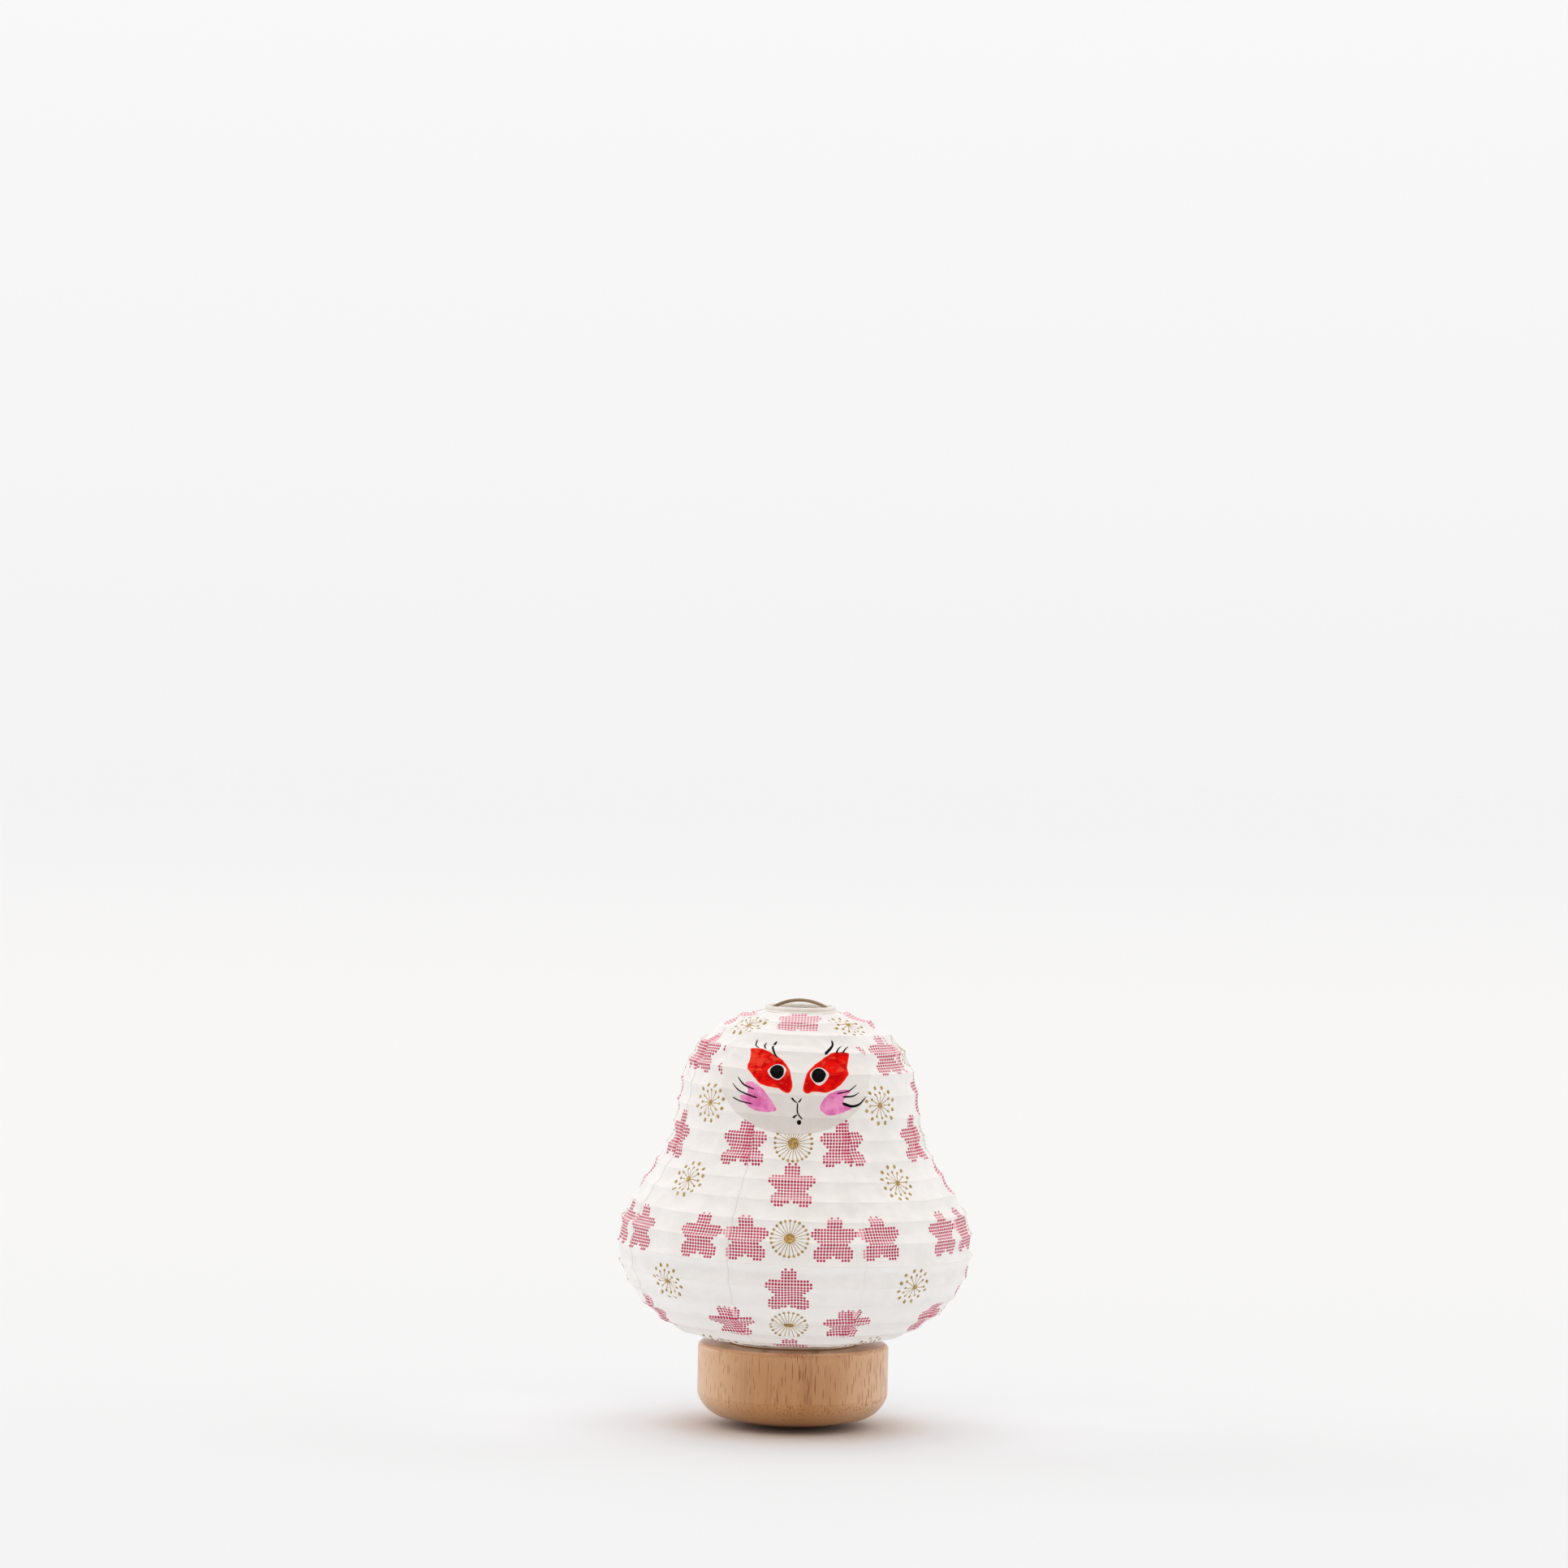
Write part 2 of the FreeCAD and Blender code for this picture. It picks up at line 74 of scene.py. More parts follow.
RIB_PITCH = 7.9
RIB_FIRST = 3.15  # length from the top edge to the first rib, at angle 0
RIB_TURNS = 19
RIB_RADIUS = 0.4
RIB_RIDGE = 0.13  # how far the rib presses the paper out
SAG = 0.75  # how deep the paper hangs in between two ribs
SAG_BEND = 5.0  # more sag where the outline bulges, for each 1/mm of bend
SAG_LEAST = 0.35
SAG_CHANGE = 0.3  # share by which the sag differs from place to place
WOBBLE = 0.22  # slow unevenness of the whole shape
RIPPLE = 0.03
STIFF_ENDS = 4.0  # the paper is flat this close to the top ring and the hem
CROWN_DROP = 2.2  # extra fall of the ribs over the crown
CROWN_DROP_AT = 27.0
CROWN_DROP_WIDE = 40.0
FOREHEAD_LOW, FOREHEAD_HIGH = 130.0, 140.0
FOREHEAD_EDGE = 3.0
FOREHEAD_CREASES = 1.8  # how much deeper the creases are on the forehead

# heights of the rows of printed flowers
PRINT_LEVELS = [144.0, 132.6, 115.2, 103.0, 89.5, 72.2, 54.0, 40.4]
PRINT_LAST_STEP = 18.4
CROWN_DANDELION_Z = 142.3  # seed heads on the crown, a little below its stars
NECK_STAR_Z = 118.0  # stars on the neck, a little above its seed heads
DOT_PITCH = 1.1
DOT_RADIUS = 0.455
DOT_BLEED = 0.28  # how far a faint edge of ink runs out round a dot
PAIRED_ROW = 5  # here every gore has two whole stars
PAIRED_STAR_X = 15.5
CROWN_STARS_X = [-10.2, 8.3]  # crown stars of a gore without a middle one
PRINT_SLIP = 0.25  # how far the print of a gore is off its place
FLOWER_REACH = 9.4  # half size of the square that holds one flower
FAR_AWAY = 50.0  # print coordinate of paper with no flower on it

# face sheet
SHEET_PAPER = 0.155
SHEET_RISE = 0.14  # clear of the ridges of the gores below
SHEET_COLUMNS, SHEET_ROWS = 136, 190
SHEET_HALF = 25.8
SHEET_SHOULDER_Z = 123.0
SHEET_LOW_Z = 106.0
SHEET_TOP = [(-25.8, 131.0), (-24.0, 134.6), (-22.4, 137.6), (-17.0, 139.2), (-12.0, 141.2),
             (0.0, 141.4), (9.5, 141.1), (14.0, 140.2), (15.2, 138.9), (20.8, 135.4),
             (22.8, 133.4), (25.8, 130.2)]
FACE_X = 1.65  # the brushed face sits this far right of the middle

# brushed shapes of the face, as outlines of (across, height)
RED_SHAPES = [
    [(-17.1, 134.3), (-13.9, 134.3), (-10.7, 133.5), (-7.4, 132.1), (-5.0, 129.9),
     (-3.6, 127.9), (-2.8, 125.3), (-2.4, 122.7), (-2.9, 120.4), (-4.0, 119.8),
     (-5.6, 120.4), (-7.4, 121.5), (-10.5, 121.9), (-13.6, 122.6), (-15.6, 124.6),
     (-17.9, 127.3), (-18.3, 128.8), (-17.6, 131.2)],
    [(9.3, 132.7), (12.8, 133.8), (15.5, 133.8), (16.8, 132.6), (16.6, 129.1),
     (16.7, 126.5), (15.6, 124.4), (13.6, 122.1), (9.8, 120.3), (7.2, 120.3),
     (5.0, 120.5), (2.9, 119.8), (1.6, 120.5), (1.5, 122.3), (2.5, 126.5),
     (3.8, 128.3), (5.9, 130.4)],
]
PINK_SHAPES = [
    [(-19.0, 122.8), (-16.3, 123.2), (-12.5, 120.8), (-10.4, 118.3), (-7.8, 114.2),
     (-10.2, 113.3), (-14.5, 113.4), (-18.3, 115.2), (-20.8, 118.0), (-17.6, 119.6)],
    [(17.8, 120.7), (15.2, 121.3), (10.9, 120.0), (8.8, 118.2), (7.5, 115.0),
     (9.5, 112.9), (12.1, 112.5), (15.6, 113.4), (18.6, 115.1), (15.6, 117.0),
     (16.2, 118.9)],
]
EYE_SHAPES = [
    [(-11.0, 127.0), (-9.6, 129.1), (-7.6, 129.8), (-5.8, 129.2), (-4.6, 127.5),
     (-5.8, 125.2), (-7.7, 124.3), (-9.8, 125.1)],
    [(3.6, 126.3), (5.1, 128.3), (7.0, 128.8), (8.9, 128.0), (10.1, 126.0),
     (8.8, 123.7), (6.9, 122.7), (4.8, 124.1)],
]
PUPILS = [(-7.8, 127.1), (6.6, 126.1)]
PUPIL_RADIUS = 2.45
RAGGED = 0.1  # unevenness of the painted edges

# brush strokes: points, and half widths near the start, at the middle, near the end
STROKE_REACH = 1.2  # a stroke is drawn on the faces this near to it
STROKE_WEIGHT = 2.0  # all half widths are times this
STROKES = [
    ([(-15.5, 138.0), (-16.1, 136.3), (-14.4, 134.5)], (0.1, 0.14, 0.1)),
    ([(-12.1, 137.1), (-12.8, 135.9), (-11.9, 134.2)], (0.08, 0.17, 0.12)),
    ([(-8.4, 137.6), (-9.8, 135.9), (-9.1, 133.4), (-7.9, 131.9)], (0.15, 0.2, 0.12)),
    ([(10.6, 138.0), (11.2, 137.0), (10.4, 135.3), (8.4, 132.9)], (0.14, 0.22, 0.3)),
    ([(14.5, 136.4), (13.3, 135.4), (12.2, 133.2)], (0.06, 0.12, 0.18)),
    ([(16.5, 135.9), (15.5, 135.0), (14.3, 133.1)], (0.08, 0.14, 0.18)),
    ([(-21.9, 124.8), (-19.4, 122.1), (-15.5, 120.7)], (0.1, 0.16, 0.12)),
    ([(-23.8, 122.5), (-20.5, 119.8), (-14.3, 117.7)], (0.07, 0.13, 0.16)),
    ([(-23.4, 117.6), (-20.5, 116.4), (-16.2, 115.7)], (0.12, 0.12, 0.13)),
    ([(19.9, 122.9), (17.3, 120.8), (13.0, 119.8)], (0.08, 0.13, 0.13)),
    ([(20.8, 120.1), (18.4, 118.9), (14.9, 118.7)], (0.07, 0.14, 0.18)),
    ([(23.0, 118.6), (21.1, 116.2), (18.5, 115.5), (15.0, 116.6)], (0.1, 0.22, 0.26)),
    ([(-2.5, 118.4), (-1.6, 117.3), (-0.4, 116.6)], (0.2, 0.13, 0.1)),
    ([(0.9, 118.2), (0.4, 117.3), (-0.4, 116.6)], (0.1, 0.14, 0.12)),
    ([(-0.4, 116.7), (-0.4, 113.9), (0.1, 112.5), (1.5, 111.0)], (0.12, 0.15, 0.12)),
    ([(-0.2, 112.7), (-1.0, 112.2), (-1.9, 111.4)], (0.08, 0.16, 0.2)),
    ([(0.1, 110.7), (0.3, 110.0), (0.3, 109.2)], (0.36, 0.42, 0.24)),
]

TOP_RING_RADIUS = 11.6
TOP_RING_Z = 146.35
BINDING_RADIUS = 0.66
BINDING_STEPS, BINDING_SIDES = 900, 28
STRIP_TURNS = 34  # turns of the binding strip round the top ring
COLLAR_PAPER = 0.08
COLLAR_RISE = 0.03  # how far the collar lies above the laps
COLLAR_FOLD = [(0.35, -0.35), (0.6, -0.65)]  # from the middle of the top ring's wire
THREAD_RADIUS = 0.13
THREAD_DEPTH = 0.16  # from the inside of the rib to the middle of a thread
KNOT_RISE = 0.14
KNOT_LENGTH = 0.06  # in turns of the rib
THREAD_CLEAR = 0.3  # gap between a thread and the sagging paper
HEM_RADIUS = 22.6
TAB_PAPER = 0.12
TAB_WIDTHS = (2.1, 2.9)
TAB_PROFILE = [(25.2, 30.62), (23.9, 30.5), (22.7, 30.36), (21.9, 30.1), (21.75, 29.5)]
BASE_TOP = 29.0

rng = np.random.default_rng(20)


# ---- small maths

def smooth(value, low, high):
    """Smooth step from 0 at low to 1 at high. It falls where high is less than low."""
    t = np.clip((value - low) / (high - low), 0.0, 1.0)
    return t * t * (3 - 2 * t)


def circle(radius, theta, z):
    """Points at angles of a circle round the vertical axis."""
    return np.stack([radius * np.cos(theta), radius * np.sin(theta), z + 0 * theta], -1)


def natural_spline(knots, values, at):
    """Natural cubic spline through values at knots."""
    count = len(knots)
    gaps = np.diff(knots)
    slopes = np.diff(values) / gaps
    system = np.eye(count)
    right = np.zeros(count)
    for n in range(1, count - 1):
        system[n, n - 1:n + 2] = gaps[n - 1], 2 * (gaps[n - 1] + gaps[n]), gaps[n]
        right[n] = 3 * (slopes[n] - slopes[n - 1])
    bend = np.linalg.solve(system, right)
    n = np.clip(np.searchsorted(knots, at) - 1, 0, count - 2)
    x = at - knots[n]
    linear = slopes[n] - gaps[n] * (2 * bend[n] + bend[n + 1]) / 3
    cubic = (bend[n + 1] - bend[n]) / (3 * gaps[n])
    return values[n] + linear * x + bend[n] * x ** 2 + cubic * x ** 3


def random_directions(count):
    """Unit vectors spread over a sphere."""
    v = rng.normal(size=(count, 3))
    return v / np.linalg.norm(v, axis=1, keepdims=True)


class Waves:
    """Smooth noise between about -1 and 1, as a sum of plane waves."""

    def __init__(self, shortest, longest, count=10):
        lengths = rng.uniform(shortest, longest, count)
        self.waves = random_directions(count) * (TAU / lengths)[:, None]
        self.phases = rng.uniform(0, TAU, count)

    def __call__(self, points):
        total = np.sin(points @ self.waves.T + self.phases).sum(axis=-1)
        return total / math.sqrt(len(self.phases) * 2)


class Creases:
    """Shallow folds, as sharp on their ridges as folds in paper are."""

    def __init__(self, narrow, wide, count, height):
        self.directions = random_directions(count)
        self.widths = rng.uniform(narrow, wide, count)
        self.heights = rng.uniform(0.4, 1.0, count) * height
        self.bends = [Waves(18, 40, 5) for _ in range(count)]
        self.masks = [Waves(14, 34, 6) for _ in range(count)]

    def __call__(self, points):
        total = np.zeros(points.shape[:-1])
        for n, direction in enumerate(self.directions):
            along = points @ direction / self.widths[n] + 0.45 * self.bends[n](points)
            fold = 1 - 4 * np.abs(along % 1 - 0.5)
            total += self.heights[n] * fold * smooth(self.masks[n](points), 0.1, 0.8)
        return total


# ---- shape of the paper

class Outline:
    """The paper's outline by length from its top edge: radius, height, normal, bend."""

    def __init__(self, points, steps=6000):
        points = np.array(points)
        knots = np.append(0, np.cumsum(np.hypot(*np.diff(points, axis=0).T)))
        at = np.linspace(0, knots[-1], steps)
        self.r = natural_spline(knots, points[:, 0], at)
        self.z = natural_spline(knots, points[:, 1], at)
        dr, dz = np.gradient(self.r), np.gradient(self.z)
        size = np.hypot(dr, dz)
        self.s = np.append(0, np.cumsum((size[1:] + size[:-1]) / 2))
        self.normal_r, self.normal_z = -dz / size, dr / size
        self.bend = -np.gradient(np.unwrap(np.arctan2(dz, dr)), self.s)
        self.length = self.s[-1]

    def at(self, s, field):
        return np.interp(s, self.s, getattr(self, field))

    def at_height(self, z):
        """Length from the top edge to a height."""
        return np.interp(-np.asarray(z, float), -self.z, self.s)


outline = Outline(PAPER_OUTLINE)


def rib_line(s):
    """Length along the outline without the extra fall over the crown."""
    return s - CROWN_DROP * np.exp(-((s - CROWN_DROP_AT) / CROWN_DROP_WIDE) ** 2)


RIB_LINE = rib_line(outline.s)


def rib_turn(theta, s):
    """Turns of the spiral rib down to a point. A whole number is on the rib."""
    return (rib_line(s) - RIB_FIRST) / RIB_PITCH - theta / TAU


def length_at_turn(theta, turn):
    """Length along the outline where the spiral has made that many turns."""
    return np.interp(RIB_FIRST + RIB_PITCH * (turn + theta / TAU), RIB_LINE, outline.s)


sag_change = Waves(16, 36)
wobble = Waves(28, 60)
ripple = Waves(7, 13, 14)
creases = Creases(5, 14, 12, 0.25)
fine_creases = Creases(2.5, 6, 8, 0.08)


def on_outline(theta, s):
    """Points and outward normals of the plain turned shape."""
    points = circle(outline.at(s, "r"), theta, outline.at(s, "z"))
    return points, circle(outline.at(s, "normal_r"), theta, outline.at(s, "normal_z"))


def relief(theta, s):
    """How far the paper stands out from the turned shape: it sags between the ribs."""
    points, _ = on_outline(theta, s)
    part = rib_turn(theta, s) % 1
    middle = 2 * np.minimum(part, 1 - part)
    from_rib = middle / 2 * RIB_PITCH
    ends = smooth(s, 0, STIFF_ENDS) * smooth(outline.length - s, 0, STIFF_ENDS)
    sag = np.maximum(SAG + SAG_BEND * outline.at(s, "bend"), SAG_LEAST)
    sag = sag * (1 + SAG_CHANGE * sag_change(points))
    depth = -sag * middle * (2 - middle)
    depth += RIB_RIDGE * np.exp(-(from_rib / RIB_RADIUS) ** 2)
    forward, height = -points[..., 1], points[..., 2]
    forehead = smooth(height, FOREHEAD_LOW, FOREHEAD_LOW + FOREHEAD_EDGE)
    forehead *= smooth(height, FOREHEAD_HIGH, FOREHEAD_HIGH - FOREHEAD_EDGE)
    forehead *= smooth(forward, 12, 22)
    folds = creases(points) * (1 + FOREHEAD_CREASES * forehead) + fine_creases(points)
    depth += folds * np.sqrt(middle)
    depth += RIPPLE * ripple(points) * middle
    return ends * (depth + WOBBLE * wobble(points)) - SURFACE_DEPTH


def paper_points(theta, s, lift=0.0):
    """Points of the paper's outer face, and the outward normals of the turned shape."""
    points, normals = on_outline(theta, s)
    out = relief(theta, s) + lift
    return points + normals * out[..., None], normals


# ---- mesh helpers

def new_object(name, data):
    """A new object, linked into the scene."""
    made = bpy.data.objects.new(name, data)
    bpy.context.scene.collection.objects.link(made)
    return made


def make_piece(name, points, faces, body, slot, node, *materials):
    """A smooth mesh piece from points in millimetres, riding on a body in place of a node."""
    mesh = bpy.data.meshes.new(name)
    mesh.from_pydata((np.asarray(points) * MM).tolist(), [], [list(f) for f in faces])
    mesh.shade_smooth()
    piece = new_object(name, mesh)
    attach(piece, body)
    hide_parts(node)
    for material in materials:
        mesh.materials.append(material)
    return piece


def hang(piece):
    """Gives the piece a mesh of its own."""
    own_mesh(piece)


def grid_faces(rows, columns, closed_rows=False, closed_columns=False):
    """Quads of a grid of points numbered row by row, rows down and columns to the left."""
    down = np.arange(rows if closed_rows else rows - 1)[:, None]
    across = np.arange(columns if closed_columns else columns - 1)[None, :]
    below, beside = (down + 1) % rows, (across + 1) % columns
    corners = [down * columns + across, below * columns + across,
               below * columns + beside, down * columns + beside]
    return np.stack(corners, -1).reshape(-1, 4)


def sheet_mesh(outer, inner):
    """Points and quads of a closed sheet between two grids of points."""
    rows, columns = outer.shape[:2]
    size = rows * columns
    front = grid_faces(rows, columns)
    top = np.arange(columns)
    left = np.arange(rows) * columns
    edges = [(top, 1), (left + columns - 1, 1), (top + size - columns, -1), (left, -1)]
    strips = []
    for line, way in edges:
        a, b = line[:-1], line[1:]
        strips.append(np.stack([a, b, b + size, a + size], -1)[:, ::way])
    points = np.concatenate([outer.reshape(-1, 3), inner.reshape(-1, 3)])
    return points, np.concatenate([front, front[:, ::-1] + size] + strips), len(front)


def tube_mesh(path, radius, sides, closed=False):
    """Points and faces of a tube round a path. The radius may change along and round it."""
    path = np.asarray(path, float)
    if closed:
        ahead = np.roll(path, -1, 0) - np.roll(path, 1, 0)
    else:
        ahead = np.gradient(path, axis=0)
    ahead = ahead / np.linalg.norm(ahead, axis=1, keepdims=True)
    reference = np.where(np.abs(ahead[:, 2:]) > 0.95, [[0.0, 1.0, 0.0]], [[0.0, 0.0, 1.0]])
    side = np.cross(ahead, reference)
    side /= np.linalg.norm(side, axis=1, keepdims=True)
    up = np.cross(side, ahead)
    turn = np.arange(sides) * TAU / sides
    ring = np.cos(turn)[:, None] * side[:, None] + np.sin(turn)[:, None] * up[:, None]
    points = path[:, None] + ring * np.broadcast_to(radius, ring.shape[:2])[..., None]
    faces = grid_faces(len(path), sides, closed, True).tolist()
    if not closed:
        faces.append(list(range(sides)))
        faces.append([len(path) * sides - 1 - n for n in range(sides)])
    return points.reshape(-1, 3), faces


def joined_meshes(meshes):
    """One list of points and faces from several."""
    points, faces = [], []
    for more_points, more_faces in meshes:
        start = sum(len(p) for p in points)
        points.append(more_points)
        faces += [[v + start for v in face] for face in more_faces]
    return np.concatenate(points), faces


def set_uv(piece, name, coordinates):
    """A UV map from coordinates of each face's corners."""
    layer = piece.data.uv_layers.new(name=name, do_init=False)
    layer.data.foreach_set("uv", np.asarray(coordinates, np.float32).ravel())


# ---- printed gores

# parts of a turn between two ribs where the grid has a row, closer together at the rib
TURN_STEPS = [0, 0.03, 0.07, 0.13, 0.22, 0.34, 0.5, 0.66, 0.78, 0.87, 0.93, 0.97]
GORE_COLUMNS = 44  # grid columns across a gore, up to the rise of its lap
RISE_GAP = 0.4  # plain paper between the last of them and that rise
END_STRIP = 1.0  # least width of the rows that follow the paper's ends
SEAM_COLUMNS = np.append(np.linspace(-LAP_RISE, 0, 4), np.linspace(0, LAP, 6)[1:])


def flower_places(gore):
    """Middles of a gore's flowers as (across, down) in the flat sheet, by kind."""
    levels = list(outline.at_height(PRINT_LEVELS))
    levels.append(levels[-1] + PRINT_LAST_STEP)
    starred = gore % 2 == 0
    places = {"star": [], "pompom": [], "dandelion": []}
    for row, level in enumerate(levels):
        if row % 2 == 0:
            if row == 0 and not starred:
                level = outline.at_height(CROWN_DANDELION_Z)
            elif row == 2 and starred:
                level = outline.at_height(NECK_STAR_Z)
            places["star" if starred else "dandelion"].append((0.0, level))
            continue
        if starred:
            places["pompom"].append((0.0, level))
        seam = GORE_ANGLE / 2 * float(outline.at(level, "r"))
        beside = [-seam, seam]
        if row == PAIRED_ROW:
            beside = [-PAIRED_STAR_X, PAIRED_STAR_X]
        elif row == 1 and not starred:
            beside = CROWN_STARS_X
        places["star"] += [(x, level) for x in beside]
    return places


def in_flower(across, down, faces, places):
    """Each face corner's place in its flower, or far away on plain paper."""
    corners = np.stack([across.ravel()[faces], down.ravel()[faces]], -1)
    middles = corners.mean(1)
    result = np.full(corners.shape, FAR_AWAY)
    for place in places:
        near = np.abs(middles - place).max(1) < FLOWER_REACH
        result[near] = corners[near] - place
    return result


def gore_grid(middle):
    """Angles and lengths of a gore's grid. Its rows follow the spiral rib."""
    share = np.append(np.linspace(0, 1, GORE_COLUMNS), np.ones(len(SEAM_COLUMNS)))
    beyond = np.append(np.full(GORE_COLUMNS, -LAP_RISE - RISE_GAP), SEAM_COLUMNS)
    near_edge = middle - GORE_ANGLE / 2
    past_lap = middle + GORE_ANGLE * 0.6

    def angles(s):
        return near_edge + share * (GORE_ANGLE + beyond / outline.at(s, "r"))

    first = rib_turn(near_edge, END_STRIP)
    last = rib_turn(past_lap, outline.length - END_STRIP)
    whole = np.arange(math.floor(first), math.ceil(last) + 1)
    turns = (whole[:, None] + np.array(TURN_STEPS)).ravel()
    turns = turns[(turns > first) & (turns < last)][:, None]
    s = length_at_turn(middle, turns) * np.ones(len(share))
    for _ in range(4):
        s = length_at_turn(angles(s), turns)
    above = np.linspace(0, 1, 8)[:-1, None] * s[:1]
    below = s[-1:] + np.linspace(0, 1, 10)[1:, None] * (outline.length - s[-1:])
    s = np.concatenate([above, s, below])
    return angles(s), s


def line_sheet(piece, front):
    """Second material on a sheet's inner face, behind the quads of its outer face."""
    which = np.zeros(len(piece.data.polygons), np.int32)
    which[front:2 * front] = 1
    piece.data.polygons.foreach_set("material_index", which)


def make_gore(gore, outside, inside):
    """One gore: a thin closed sheet whose far edge laps over the next gore."""
    middle = FRONT + gore * GORE_ANGLE
    theta, s = gore_grid(middle)
    radius = outline.at(s, "r")
    past_seam = (theta - middle - GORE_ANGLE / 2) * radius
    lift = LAP_STEP * smooth(past_seam, -LAP_RISE, 0)
    outer, normals = paper_points(theta, s, lift)
    points, faces, front = sheet_mesh(outer, outer - normals * PAPER)
    name = "gore_%d" % (gore + 1)
    piece = make_piece(name, points, faces, "lantern", "printed_paper", "paper_" + name,
                       outside, inside)
    across = (theta - middle) * radius + rng.uniform(-PRINT_SLIP, PRINT_SLIP)
    down = s + rng.uniform(-PRINT_SLIP, PRINT_SLIP)
    under = (theta - middle - GORE_ANGLE) * radius
    maps = [(kind, across, places, True) for kind, places in flower_places(gore).items()]
    maps.append(("star_below", under, flower_places(gore + 1)["star"], False))
    for kind, x, places, whole in maps:
        coordinates = np.full((len(faces), 4, 2), FAR_AWAY)
        shown = in_flower(x, down, faces[:front], places)
        if not whole:
            on_lap = past_seam.ravel()[faces[:front]].mean(1) > 0
            shown[~on_lap] = FAR_AWAY
        coordinates[:front] = shown
        set_uv(piece, kind, coordinates)
    line_sheet(piece, front)
    hang(piece)


# ---- face sheet

def curve_through(points, steps=14, closed=False):
    """Catmull-Rom curve through points."""
    points = np.array(points, float)
    if closed:
        points = np.concatenate([points[-1:], points, points[:2]])
    else:
        points = np.concatenate([2 * points[:1] - points[1:2], points,
                                 2 * points[-1:] - points[-2:-1]])
    t = (np.arange(steps) / steps)[:, None]
    pieces = []
    for n in range(1, len(points) - 2):
        a, b, c, d = points[n - 1:n + 3]
        pieces.append(0.5 * (2 * b + (c - a) * t + (2 * a - 5 * b + 4 * c - d) * t ** 2
                             + (3 * b - a - 3 * c + d) * t ** 3))
    if not closed:
        pieces.append(points[-2:-1])
    return np.concatenate(pieces)


def nearest_on(line, points):
    """Distance to a line of points, its side, and the share along it, for each point."""
    best = np.full(len(points), np.inf)
    side = np.zeros(len(points))
    share = np.zeros(len(points))
    for n, (a, b) in enumerate(zip(line[:-1], line[1:])):
        run = b - a
        t = np.clip((points - a) @ run / (run @ run), 0, 1)
        off = points - a - t[:, None] * run
        distance = np.hypot(off[:, 0], off[:, 1])
        closer = distance < best
        cross = run[0] * (points[:, 1] - a[1]) - run[1] * (points[:, 0] - a[0])
        best[closer] = distance[closer]
        side[closer] = np.sign(cross[closer])
        share[closer] = (n + t[closer]) / (len(line) - 1)
    return best, side, share


def inside_distance(outline_points, points):
    """Signed distance to a closed outline, positive inside it."""
    loop = curve_through(outline_points, 8, closed=True)
    loop = np.append(loop, loop[:1], 0)
    distance, _, _ = nearest_on(loop, points)
    inside = np.zeros(len(points), bool)
    for a, b in zip(loop[:-1], loop[1:]):
        spans = (a[1] > points[:, 1]) != (b[1] > points[:, 1])
        rise = b[1] - a[1] if b[1] != a[1] else 1e-9
        cross_x = a[0] + (points[:, 1] - a[1]) * (b[0] - a[0]) / rise
        inside ^= spans & (points[:, 0] < cross_x)
    return np.where(inside, distance, -distance)


def most_inside(outlines, points):
    """Signed distance to the nearest of several outlines."""
    return np.max([inside_distance(o, points) for o in outlines], axis=0)


def make_face_sheet(material):
    """Second sheet pasted over the front, with the brushed face on it."""
    fan = np.sin(np.linspace(-TAU / 4, TAU / 4, SHEET_COLUMNS))
    columns = 0.998 * SHEET_HALF * fan
    top_x, top_z = zip(*SHEET_TOP)
    high = np.interp(columns, top_x, top_z)
    drop = SHEET_SHOULDER_Z - SHEET_LOW_Z
    low = SHEET_SHOULDER_Z - drop * np.sqrt(1 - (columns / SHEET_HALF) ** 2)
    z = high + np.linspace(0, 1, SHEET_ROWS)[:, None] * (low - high)
    s = outline.at_height(z)
    theta = FRONT + np.arcsin(columns / outline.at(s, "r"))
    seam = np.round((theta - FRONT) / GORE_ANGLE - 0.5) * GORE_ANGLE + GORE_ANGLE / 2
    past_seam = (theta - FRONT - seam) * outline.at(s, "r")
    lap = smooth(past_seam, -LAP_RISE, 0) * smooth(-past_seam, -LAP - LAP_RISE, -LAP)
    outer, normals = paper_points(theta, s, SHEET_RISE + LAP_STEP * lap)
    points, faces, front = sheet_mesh(outer, outer - normals * SHEET_PAPER)
    piece = make_piece("face_sheet", points, faces, "lantern", "face_paper", "face_patch",
                       material)
    drawn = np.stack([columns - FACE_X + 0 * z, z], -1).reshape(-1, 2)
    paint_shapes(piece, points, drawn)
    set_uv(piece, "ink", stroke_coordinates(faces, front, drawn))
    hang(piece)


def paint_shapes(piece, points, drawn):
    """Signed distances to the painted shapes: red, pink, white of the eyes and pupils."""
    ragged = RAGGED * Waves(1.5, 4)(points[:len(drawn)])
    paint = np.full((len(points), 4), -FAR_AWAY)
    for n, (shapes, share) in enumerate([(RED_SHAPES, 1), (PINK_SHAPES, 1), (EYE_SHAPES, 0.5)]):
        paint[:len(drawn), n] = most_inside(shapes, drawn) + ragged * share
    pupils = [np.hypot(*(drawn - place).T) for place in PUPILS]
    paint[:len(drawn), 3] = PUPIL_RADIUS - np.min(pupils, axis=0) + ragged / 3
    layer = piece.data.attributes.new("paint", "FLOAT_COLOR", "POINT")
    layer.data.foreach_set("color", paint.astype(np.float32).ravel())


